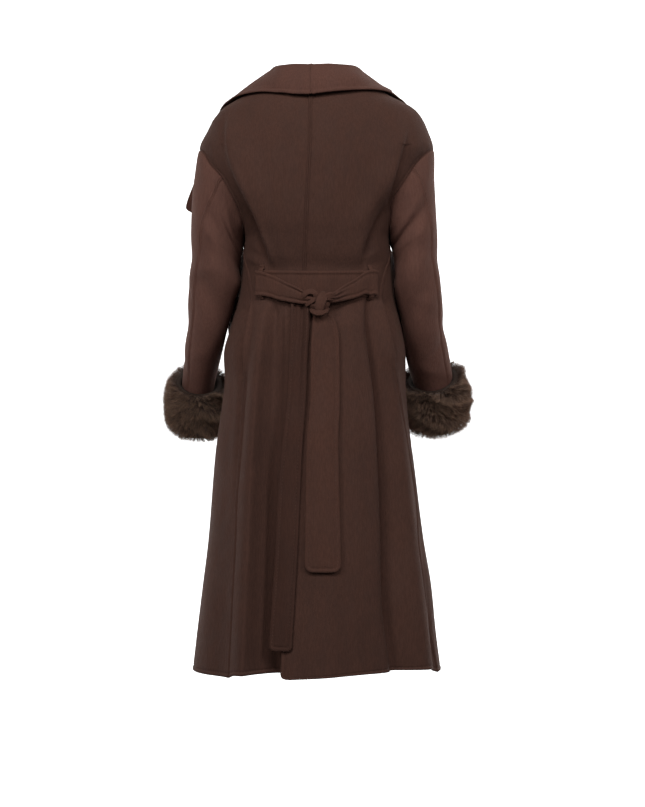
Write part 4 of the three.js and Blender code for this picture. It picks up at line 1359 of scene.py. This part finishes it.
# Sections round the neck from the centre back. The base lies at z on the coat, the collar rises from it
# and falls over to its edge at x, y and edgeZ.
COLLAR_COLUMNS = ["section", "z", "rise", "x", "y", "edgeZ", "bulge"]
COLLARS = {
    "left": table(COLLAR_COLUMNS, [
        [0, 33, 32, -12, -101, -11, 6],
        [1, 33, 32, -40, -96, -10, 6],
        [2, 33, 29, -68, -86, -6, 6],
        [3, 33, 25, -100, -68, -5, 5],
        [4, 33, 18, -142, -40, -7, 4],
        [5, 27, 16, -176, 2, -16, 4],
        [6, 8, 12, -192, 38, -38, 5],
        [7, -30, 9, -212, 68, -88, 6],
        [8, -80, 8, -234, 90, -146, 6],
        [9, -130, 8, -256, 106, -206, 6],
        [10, -170, 8, -196, 126, -228, 5],
        [11, -208, 7, -122, 139, -246, 4],
        [12, -240, 6, -52, 145, -262, 2],
    ]),
    "right": table(COLLAR_COLUMNS, [
        [0, 33, 32, -8, -101, -11, 6],
        [1, 33, 32, 26, -97, -6, 6],
        [2, 33, 29, 60, -88, -2, 6],
        [3, 33, 25, 92, -71, 1, 5],
        [4, 33, 18, 124, -46, -1, 4],
        [5, 27, 16, 156, -4, -4, 4],
        [6, 8, 12, 176, 36, -30, 5],
        [7, -30, 9, 192, 70, -84, 6],
        [8, -80, 8, 204, 95, -142, 6],
        [9, -140, 8, 214, 117, -200, 6],
        [10, -190, 8, 168, 137, -232, 5],
        [11, -240, 7, 110, 147, -266, 4],
        [12, -292, 6, 44, 143, -320, 2],
    ]),
}
COLLAR_SHOULDER = 4
COLLAR_END = 12
COLLAR_CLEARANCE = 7.3
COLLAR_HALF_GAP = 0.02


def clear_of_coat(points, clearance):
    """Points moved out until they stand clear of the coat's body."""
    moved = points.copy()
    for _ in range(4):
        theta = np.arctan2(moved[..., 0], -moved[..., 1])
        z = np.minimum(moved[..., 2], NECK_Z)
        n = coat_normal(theta, z)
        surface = coat(theta, z)
        outward = stack(np.sin(theta), -np.cos(theta), 0)
        away = np.hypot(moved[..., 0], moved[..., 1]) - np.hypot(surface[..., 0], surface[..., 1])
        short = clearance - away * (outward * n).sum(axis=-1)
        push = np.where((moved[..., 2] <= NECK_Z) & (short > 0), short, 0)
        moved = moved + n * push[..., None]
    return moved


def collar_base(side, section, z):
    """Where each section starts, with its ways up, out and aside."""
    sign = -1 if side == "left" else 1
    upright = np.array([0, 0, 1.0])
    share = section / COLLAR_SHOULDER
    centre = theta_at(CENTRE_BACK.x(NECK_Z), NECK_Z - NAPE_DROP)
    theta = centre + (sign * np.pi / 2 - centre) * share
    height = NECK_Z - NAPE_DROP + NAPE_DROP * share**2
    back_out = stack(np.sin(theta), -np.cos(theta), 0)
    back = (coat(theta, np.minimum(height, NECK_Z)), upright + 0 * back_out, back_out, -back_out)
    theta = sign * np.radians(FRONT_EDGE.turn(z))
    extra = front_lift(side, theta)
    base = coat(theta, z, extra=extra)
    out = coat_normal(theta, z, extra)
    centreward = unit(coat(theta + sign * 0.02, z, extra=extra) - base)
    standing = (1 - smooth(section, COLLAR_SHOULDER, COLLAR_SHOULDER + 2.5))[:, None]
    up = unit(centreward + (upright - centreward) * standing)
    aside = centreward * (0.5 + CLOTH * standing) - out * CLOTH * (1 - standing)
    on_neck = (section <= COLLAR_SHOULDER)[:, None]
    return [np.where(on_neck, a, b) for a, b in zip(back, (base, up, out, aside))]


def centripetal(points, t):
    """A centripetal Catmull-Rom curve through a few points, read at the shares t."""
    points = [2 * points[0] - points[1], *points, 2 * points[-1] - points[-2]]
    spans = len(points) - 3
    place = np.clip(t * spans, 0, spans - 1e-6)
    k = place.astype(int)
    local = (place - k)[None, :, None]
    every = np.stack(points, axis=1)
    p0, p1, p2, p3 = (every[:, k + step] for step in range(4))
    d0, d1, d2 = (np.sqrt(length(b - a)) for a, b in ((p0, p1), (p1, p2), (p2, p3)))
    start = ((p1 - p0) / d0 - (p2 - p0) / (d0 + d1) + (p2 - p1) / d1) * d1
    end = ((p2 - p1) / d1 - (p3 - p1) / (d1 + d2) + (p3 - p2) / d2) * d1
    c2 = -3 * p1 + 3 * p2 - 2 * start - end
    c3 = 2 * p1 - 2 * p2 + start + end
    return p1 + start * local + c2 * local**2 + c3 * local**3


def collar(side):
    """A collar half, which rises from the neckline, turns over and falls to its free edge."""
    sign = -1 if side == "left" else 1
    sections = COLLARS[side]
    section = np.linspace(0, COLLAR_END, 110)
    steps = spaced(24, 0.03, edge_first=False)
    base, up, out, aside = collar_base(side, section, sections.z(section))
    rise = sections.rise(section)[:, None]
    edge = stack(sections.x(section), sections.y(section), sections.edgeZ(section))
    over = base + up * rise * 0.8 + out * 9
    middle = (over + edge) / 2 + out * sections.bulge(section)[:, None]
    grid = centripetal([
        base + up * 0.9 + aside,
        base + up * rise * 0.6 + out * 0.5 + aside,
        base + up * rise + out * 3,
        over,
        middle,
        edge,
    ], steps)
    falling = steps > 0.3
    grid[:, falling] = clear_of_coat(grid[:, falling], COLLAR_CLEARANCE)
    n = grid_normals(grid)
    if side == "right":
        n = -n
    grid[0, :, 0] = CENTRE_BACK.x(NECK_Z) + sign * COLLAR_HALF_GAP
    n[0, :, 0] = 0
    n = unit(n)
    grid = add_relief(grid, n, seams=["top"], edges=["last"])
    name = f"collar_{side}"
    piece = shell(f"{name}_cloth", grid, n, COLLAR_WOOL_PAINTED_LIGHT, square=["top", "first"])
    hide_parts(name)


# The belt

# How far the outside of each layer lies from the coat's outside, and where the belt turns back
LOOP_CLOTH = 2
ON_COAT = BELT_GAP + CLOTH
OVER_BAND = ON_COAT + BELT_GAP + LOOP_CLOTH
OVER_LOOP = OVER_BAND + BELT_GAP + CLOTH
TURN_X = {"left": -109, "right": 112}
LOOP_X = {"left": -101, "right": 103}
LOOP_HALF = 4
LOOP_ABOVE = 10  # how far a loop reaches past the belt's upper edge, and past its lower one
LOOP_BELOW = 6
WRAP_END_X = {"left": -6, "right": 19}
STRIP_EDGE = 0.06  # how close the rows by a strip's edges are, as a share of its width


def waist_band_back():
    """The belt's straight stretch, a little slack and crumpled."""
    share = spaced(8, STRIP_EDGE)
    along = np.linspace(0, 1, 90)
    x = mix(TURN_X["left"], TURN_X["right"], along)[:, None]
    z = WAIST_Z + BELT_HEIGHT * (0.5 - share)
    sag = 2.5 * np.sin(np.pi * along[:, None])
    z = z - sag + 0 * x
    waves = 0.7 * np.sin(x / 11 + share * 3) * np.sin(np.pi * share)
    crumple = waves - 1.4 * bell(x - 52 - 20 * share, 9)
    out = ON_COAT - 0.2 + 0.5 * crumple * np.sin(np.pi * share)
    grid, n = on_coat(theta_at(x + 0 * z, z), z, out)
    grid = add_relief(grid, n, edges=["first", "last"])
    piece = shell("waist_band_cloth", grid, n, BELT_WOOL_PAINTED_LIGHT)
    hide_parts("waist_band_back")


# The turned ends, by x: the height of the middle and half the width
WRAP_COLUMNS = ["x", "z", "half"]
WRAPS = {
    "left": table(WRAP_COLUMNS, [
        [-109, -366, 23.5],
        [-100, -367, 22.5],
        [-60, -381, 20],
        [-17, -399, 14],
        [-4, -402, 10],
    ]),
    "right": table(WRAP_COLUMNS, [
        [18, -399, 10],
        [31, -396, 12.5],
        [70, -378, 18.5],
        [97, -364, 22],
        [106, -364, 23],
        [112, -365, 23.5],
    ]),
}

# Pleats that run from the knot along each stretch: their place across it, depth and width as shares
PLEAT_COLUMNS = ["place", "slope", "out", "width"]
PLEATS = {
    "left": [[0.12, 0.10, 2.4, 0.07], [0.24, 0.14, -1.8, 0.06], [0.78, -0.1, -2.0, 0.08]],
    "right": [
        [0.2, -0.16, 2.4, 0.1],
        [0.42, -0.06, -2.6, 0.07],
        [0.62, 0.1, 2.4, 0.09],
        [0.8, 0.1, -1.8, 0.07],
    ],
}


def belt_wrap(side):
    """An end of the belt, turned back at its loop and brought to the knot, where it gathers in pleats."""
    share = spaced(16, STRIP_EDGE)
    along = np.linspace(0, 1, 90)[:, None]
    x = mix(TURN_X[side], WRAP_END_X[side], along) + 0 * share
    z = WRAPS[side].z(x) + WRAPS[side].half(x) * (1 - 2 * share)
    rise = 9 * smooth(along, 0.35, 1.0)
    roll = 2.0 * smooth(along, 0.1, 0.3) + 5.5 * smooth(along, 0.6, 1)
    roll = roll * np.sin(np.pi * share) ** 0.7
    pleats = 0
    for row in PLEATS[side]:
        pleat = named(PLEAT_COLUMNS, row)
        place = pleat.place + pleat.slope * (along - 1)
        pleats = pleats + pleat.out * bell(share - place, pleat.width) * smooth(along, 0.45, 0.95)
    grid, n = on_coat(theta_at(x, z), z, OVER_LOOP - 0.6 + rise + roll + pleats)
    facing = grid_normals(grid, n)
    grid = add_relief(grid, facing, edges=["first", "last"])
    n = grid_normals(grid, facing)
    piece = shell(f"belt_wrap_{side}_cloth", grid, n, BELT_WOOL_PAINTED_LIGHT)
    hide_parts(f"belt_wrap_{side}")


# The knot is made of folded stretches of the belt. A stretch passes through places given as x and z across
# the back and the distance out of the coat, each with its half width and half thickness and how it turns.
STRETCH_COLUMNS = ["x", "z", "out", "half", "thick", "turn"]
KNOT_STRETCHES = {
    "core": [
        [-14, -402, 10, 10, 5, 0],
        [-2, -408, 14, 15, 9, 0],
        [10, -410, 15, 16, 10, 0],
        [24, -401, 12, 10, 6, 0],
    ],
    "upright turn": [
        [14, -384, 8, 8, 3.6, 0],
        [13, -391, 22, 9, 4, 4],
        [11, -402, 28, 9.5, 4.2, 6],
        [8, -416, 29, 9.5, 4.2, 8],
        [6, -428, 25, 9, 4, 8],
        [5, -435, 12, 7, 3.4, 6],
    ],
    "curl": [
        [-28, -405, 14, 9, 3, 10],
        [-22, -392, 21, 7, 3, 24],
        [-11, -384.5, 24, 6, 2.8, 30],
        [-1, -388, 26, 5.5, 2.8, 20],
        [1, -398, 25, 5.5, 2.8, 0],
        [-6, -407, 23, 7, 3, -20],
        [-19, -414, 15, 9, 3, -10],
    ],
    "lower lip": [
        [-10, -420, 11, 5, 3, 0],
        [-3, -430, 21, 6, 3.6, 0],
        [6, -434, 25, 6, 3.8, 0],
        [15, -430, 21, 5.5, 3.4, 0],
        [22, -419, 12, 5, 3, 0],
    ],
    "right fold": [
        [8, -403, 20, 7, 3, 0],
        [19, -397, 24, 8, 3.4, -10],
        [29, -394, 20, 9, 3.2, -14],
        [41, -389, 12, 9, 2.6, -16],
    ],
}


def fine_line(values, count):
    """A smooth line of values through the given ones."""
    values = np.array(values, float)
    places = np.arange(len(values))
    fine = np.linspace(0, len(values) - 1, count)
    return np.stack([smooth_curve(places, values[:, k])(fine) for k in range(values.shape[1])], axis=-1)


def stretch(name, rows, phase):
    """A closed, flattened and slightly pleated tube through the given places on the back."""
    count = 34
    around = 30
    groove = 0.16
    grooves = 3
    line = named(STRETCH_COLUMNS, fine_line(rows, count).T)
    half, thick = line.half[:, None], line.thick[:, None]
    middle, n = on_coat(theta_at(line.x, line.z), line.z, line.out)
    along = unit(np.gradient(middle, axis=0))
    side = unit(np.cross(along, n))
    up = np.cross(side, along)
    tilt = np.radians(line.turn)[:, None]
    side, up = side * np.cos(tilt) + up * np.sin(tilt), up * np.cos(tilt) - side * np.sin(tilt)
    a = np.linspace(0, 2 * np.pi, around, endpoint=False)
    flat = np.sign(np.cos(a)) * np.abs(np.cos(a)) ** 0.8
    high = np.sign(np.sin(a)) * np.abs(np.sin(a)) ** 0.8
    drift = np.linspace(0, 1.2, count)[:, None]
    pleat = 1 + groove * np.cos(np.pi * grooves * flat[None] + phase + drift) * np.abs(high)
    ends = np.sin(np.pi * np.linspace(0.05, 0.95, count))[:, None] ** 0.35
    points = (
        middle[:, None]
        + side[:, None] * (half * flat * ends)[..., None]
        + up[:, None] * (thick * high * pleat * ends)[..., None]
    )
    at = np.arange(count * around).reshape(count, around)
    following = np.roll(at, -1, axis=1)
    faces = np.stack([at[:-1], following[:-1], following[1:], at[1:]], axis=-1).reshape(-1, 4).tolist()
    points = np.concatenate([points.reshape(-1, 3), middle[:1], middle[-1:]])
    first = count * around
    for k in range(around):
        after = (k + 1) % around
        faces.append([first, int(at[0, after]), int(at[0, k])])
        faces.append([first + 1, int(at[-1, k]), int(at[-1, after])])
    return new_object(name, points, faces, BELT_WOOL_PAINTED_LIGHT)


def belt_knot():
    for k, (label, rows) in enumerate(KNOT_STRETCHES.items()):
        piece = stretch("belt_knot_" + label.replace(" ", "_"), rows, phase=1.3 * k)
        if label == "core":
            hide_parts("belt_knot")


TAIL_COLUMNS = ["z", "leftX", "rightX"]
TAILS = {
    "wide": table(TAIL_COLUMNS, [
        [-412, -3, 18],
        [-425, -4, 23],
        [-436, -5, 32],
        [-449, -6, 38],
        [-479, -8, 42.5],
        [-586, -9, 42],
        [-667, -15, 38],
        [-880, -17, 40],
    ]),
    "long": table(TAIL_COLUMNS, [
        [-392, -44, -10],
        [-450, -46, -11],
        [-493, -48, -14],
        [-584, -52, -17],
        [-667, -60, -23],
        [-759, -67, -27],
        [-871, -72, -31],
        [-954, -77, -35],
        [-1036, -82, -39],
    ]),
}
TAIL_TOP = {"wide": -412, "long": -392}
TAIL_FOOT = {"wide": -903, "long": -1048}
TAIL_CORNER = {"wide": 14, "long": 9}
# Each end's creases, by height: their place across it as a share, depth and width in millimetres
TAIL_CREASE_COLUMNS = ["z", "place", "out", "width"]
TAIL_CREASES = {
    "wide": [
        table(TAIL_CREASE_COLUMNS, [[-412, 0.45, 5, 10], [-450, 0.4, 3, 12], [-520, 0.35, 0, 14]]),
        table(TAIL_CREASE_COLUMNS, [[-412, 0.8, -4, 6], [-470, 0.86, -1.5, 7], [-560, 0.88, 0, 7]]),
        table(TAIL_CREASE_COLUMNS, [[-600, 0.3, 0, 12], [-720, 0.4, 1.8, 14], [-860, 0.5, 0, 14]]),
    ],
    "long": [
        table(TAIL_CREASE_COLUMNS, [
            [-392, 0.84, 7, 5],
            [-450, 0.84, 6, 5],
            [-600, 0.84, 3, 6],
            [-760, 0.84, 0, 7],
        ]),
        table(TAIL_CREASE_COLUMNS, [[-392, 0.58, -4, 4], [-470, 0.6, -3, 4], [-640, 0.62, 0, 6]]),
        table(TAIL_CREASE_COLUMNS, [[-392, 0.2, -3, 3], [-440, 0.22, -2.5, 3], [-520, 0.22, 0, 4]]),
        table(TAIL_CREASE_COLUMNS, [[-700, 0.4, 0, 10], [-860, 0.5, 1.6, 12], [-1020, 0.5, 0, 12]]),
    ],
}
TAIL_LIFT = {"wide": 3.6, "long": 2.0}
TAIL_TOP_LIFT = 3


def belt_tail(name):
    """A hanging end of the belt, with rounded corners at its foot."""
    edges = TAILS[name]
    top, foot, corner = TAIL_TOP[name], TAIL_FOOT[name], TAIL_CORNER[name]
    body = np.linspace(top, foot + 22, 110)
    ends = foot + np.array([20, 18, 16, 14, 12, 10, 8.5, 7, 5.6, 4.2, 3, 2, 1.1, 0.4, 0])
    heights = np.concatenate([body, ends])
    share = spaced(16, 0.07)
    rise = np.clip(foot + corner - heights, 0, corner)
    inset = corner - np.sqrt(np.maximum(corner**2 - rise**2, 0))
    left = edges.leftX(heights) + inset
    right = edges.rightX(heights) - inset
    x = left[:, None] + (right - left)[:, None] * share
    z = heights[:, None] + 0 * x
    width = edges.rightX(heights) - edges.leftX(heights)
    out = ON_COAT + TAIL_LIFT[name] + TAIL_TOP_LIFT * (1 - smooth(-z, -top, -top + 60))
    for crease in TAIL_CREASES[name]:
        place = crease.place(z) * width[:, None] + edges.leftX(heights)[:, None]
        out = out + crease.out(z) * bell(x - place, crease.width(z))
    grid, n = on_coat(theta_at(x, z), z, out)
    n = grid_normals(grid, n)
    past_side = np.abs(x - (edges.leftX(z) + edges.rightX(z)) / 2) - (width / 2 - corner)[:, None]
    past_foot = foot + corner - z
    round_corner = np.hypot(np.maximum(past_side, 0), np.maximum(past_foot, 0))
    free = corner - round_corner - np.minimum(np.maximum(past_side, past_foot), 0)
    grid = grid + n * edge_relief(free)[..., None]
    n = grid_normals(grid, n)
    # The wide end takes the belt's wool painted lighter, as painted light; the long end a darker wool, as
    # painted shade of the recess it hangs in.
    material = BELT_WOOL_PAINTED_LIGHT if name == "wide" else TAIL_WOOL_PAINTED_SHADE
    piece = shell(f"belt_tail_{name}_cloth", grid, n, material)
    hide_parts(f"belt_tail_{name}")
    for edge in ("first", "last"):
        line, outs = at_distance(grid, n, edge, STITCH_LINE)
        stitches(f"belt_tail_{name}_stitches_{edge}", line, outs)


def belt_loop(side):
    """A narrow loop, sewn down above and below the belt, over the belt's first layer."""
    thickness = LOOP_CLOTH
    half = BELT_HEIGHT / 2
    low = BELT_GAP / 2 + thickness
    high = OVER_BAND + 0.4
    z = np.concatenate([
        np.linspace(half + LOOP_ABOVE, half + 5, 5),
        np.linspace(half + 2, -half - 2, 16),
        np.linspace(-half - 4, -half - LOOP_BELOW, 5),
    ])
    out = low + (high - low) * (1 - smooth(np.abs(z), half + 1, half + 5))
    share = np.linspace(-1, 1, 9)
    height = WAIST_Z + z[:, None] + 0 * share
    x = LOOP_X[side] + share * LOOP_HALF + 0 * height
    crown = 0.7 * (1 - share**2)
    grid, n = on_coat(theta_at(x, height), height, out[:, None] + crown)
    n = grid_normals(grid, n)
    piece = shell(f"belt_loop_{side}_cloth", grid, n, BELT_WOOL_PAINTED_LIGHT, thickness=thickness)
    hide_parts(f"belt_loop_{side}")


def pocket_tack(side):
    """The bar tack that closes the foot of a pocket, across its seam."""
    foot = np.full(12, float(POCKETS[side][1] + 4))
    theta = outer_edge(foot, side, False)
    x = reach(theta, foot) * np.sin(theta) + np.linspace(-4.5, 4.5, 12)
    line, outs = on_coat(theta_at(x, foot), foot, np.full(12, 0.6))
    stitches(f"pocket_tack_{side}", line, outs, pitch=1.5, long=3.0, thick=0.5)


# Stage

FLOOR_Z = -1.47
BACKDROP = SimpleNamespace(half_width=12.0, near=0.2, far=6.0, height=7.0, bend=1.6)


def backdrop_material():
    material = bpy.data.materials.new("backdrop")
    material.use_nodes = True
    shader = material.node_tree.nodes["Principled BSDF"]
    shader.inputs["Base Color"].default_value = (0.93, 0.93, 0.93, 1)
    shader.inputs["Roughness"].default_value = 0.9
    shader.inputs["Emission Color"].default_value = (1, 1, 1, 1)
    shader.inputs["Emission Strength"].default_value = 1.0
    return material


def backdrop():
    """A white floor that starts under the coat and curves up into a wall far behind it."""
    bend = np.linspace(0, math.pi / 2, 24)
    curve = [(
        BACKDROP.far - BACKDROP.bend + BACKDROP.bend * math.sin(a),
        FLOOR_Z + BACKDROP.bend * (1 - math.cos(a)),
    ) for a in bend]
    profile = [(BACKDROP.near, FLOOR_Z), *curve, (BACKDROP.far, BACKDROP.height)]
    points = [(x, y, z) for y, z in profile for x in (-BACKDROP.half_width, BACKDROP.half_width)]
    faces = [(2 * k, 2 * k + 1, 2 * k + 3, 2 * k + 2) for k in range(len(profile) - 1)]
    mesh = bpy.data.meshes.new("backdrop")
    mesh.from_pydata(points, [], faces)
    mesh.materials.append(backdrop_material())
    mesh.polygons.foreach_set("use_smooth", [True] * len(mesh.polygons))
    sheet = bpy.data.objects.new("backdrop", mesh)
    bpy.context.scene.collection.objects.link(sheet)


def area_light(name, place, aim, size, power):
    """A rectangular lamp that faces the place it is aimed at."""
    data = bpy.data.lights.new(name, "AREA")
    data.shape = "RECTANGLE"
    data.size, data.size_y = size
    data.energy = power
    lamp = bpy.data.objects.new(name, data)
    lamp.location = place
    direction = np.array(aim, float) - np.array(place, float)
    across = np.hypot(direction[0], direction[1])
    lamp.rotation_euler = (
        math.atan2(across, -direction[2]),
        0,
        math.atan2(direction[1], direction[0]) - math.pi / 2,
    )
    bpy.context.scene.collection.objects.link(lamp)


def lights():
    world = bpy.data.worlds.new("studio")
    world.use_nodes = True
    sky = world.node_tree.nodes["Background"]
    sky.inputs["Color"].default_value = (1, 1, 1, 1)
    sky.inputs["Strength"].default_value = 0.1
    bpy.context.scene.world = world
    area_light("overhead", (-0.3, -3.3, 2.8), (0, 0, -0.2), (1.8, 1.0), 74)
    area_light("left side", (-2.4, -3.2, 1.5), (0, 0, -0.15), (1.0, 1.4), 44)
    area_light("right side", (2.6, -3.0, 1.4), (0, 0, -0.15), (1.0, 1.4), 42)
    area_light("front fill", (1.5, 1.7, 1.6), (0, 0, -0.5), (1.4, 1.4), 16)


LENS = 97.6
EYE = (0.0125, -4.2, -0.592)


def camera():
    """A long lens behind the coat, level with its middle."""
    data = bpy.data.cameras.new("camera")
    data.sensor_fit = "VERTICAL"
    data.sensor_height = 36
    data.lens = LENS
    eye = bpy.data.objects.new("camera", data)
    eye.location = EYE
    eye.rotation_euler = (math.pi / 2, 0, 0)
    bpy.context.scene.collection.objects.link(eye)
    bpy.context.scene.camera = eye


camera()
lights()
backdrop()
bpy.context.scene.view_settings.view_transform = "Standard"

for side in ("left", "right"):
    back, back_n = back_panel(side)
    front, front_n = front_panel(side)
    for panel, directions, label in ((back, back_n, "back"), (front, front_n, "front")):
        line, outs = at_distance(panel, directions, "bottom", STITCH_LINE)
        stitches(f"hem_stitches_{label}_{side}", line, outs)
    pocket_tack(side)
    collar(side)
    sleeve_piece(side, "upper")
    sleeve_piece(side, "under")
    cuff_skin(side)
    cuff_fur(side)
waist_band_back()
belt_knot()
for side in ("left", "right"):
    belt_wrap(side)
    belt_loop(side)
for name in TAILS:
    belt_tail(name)
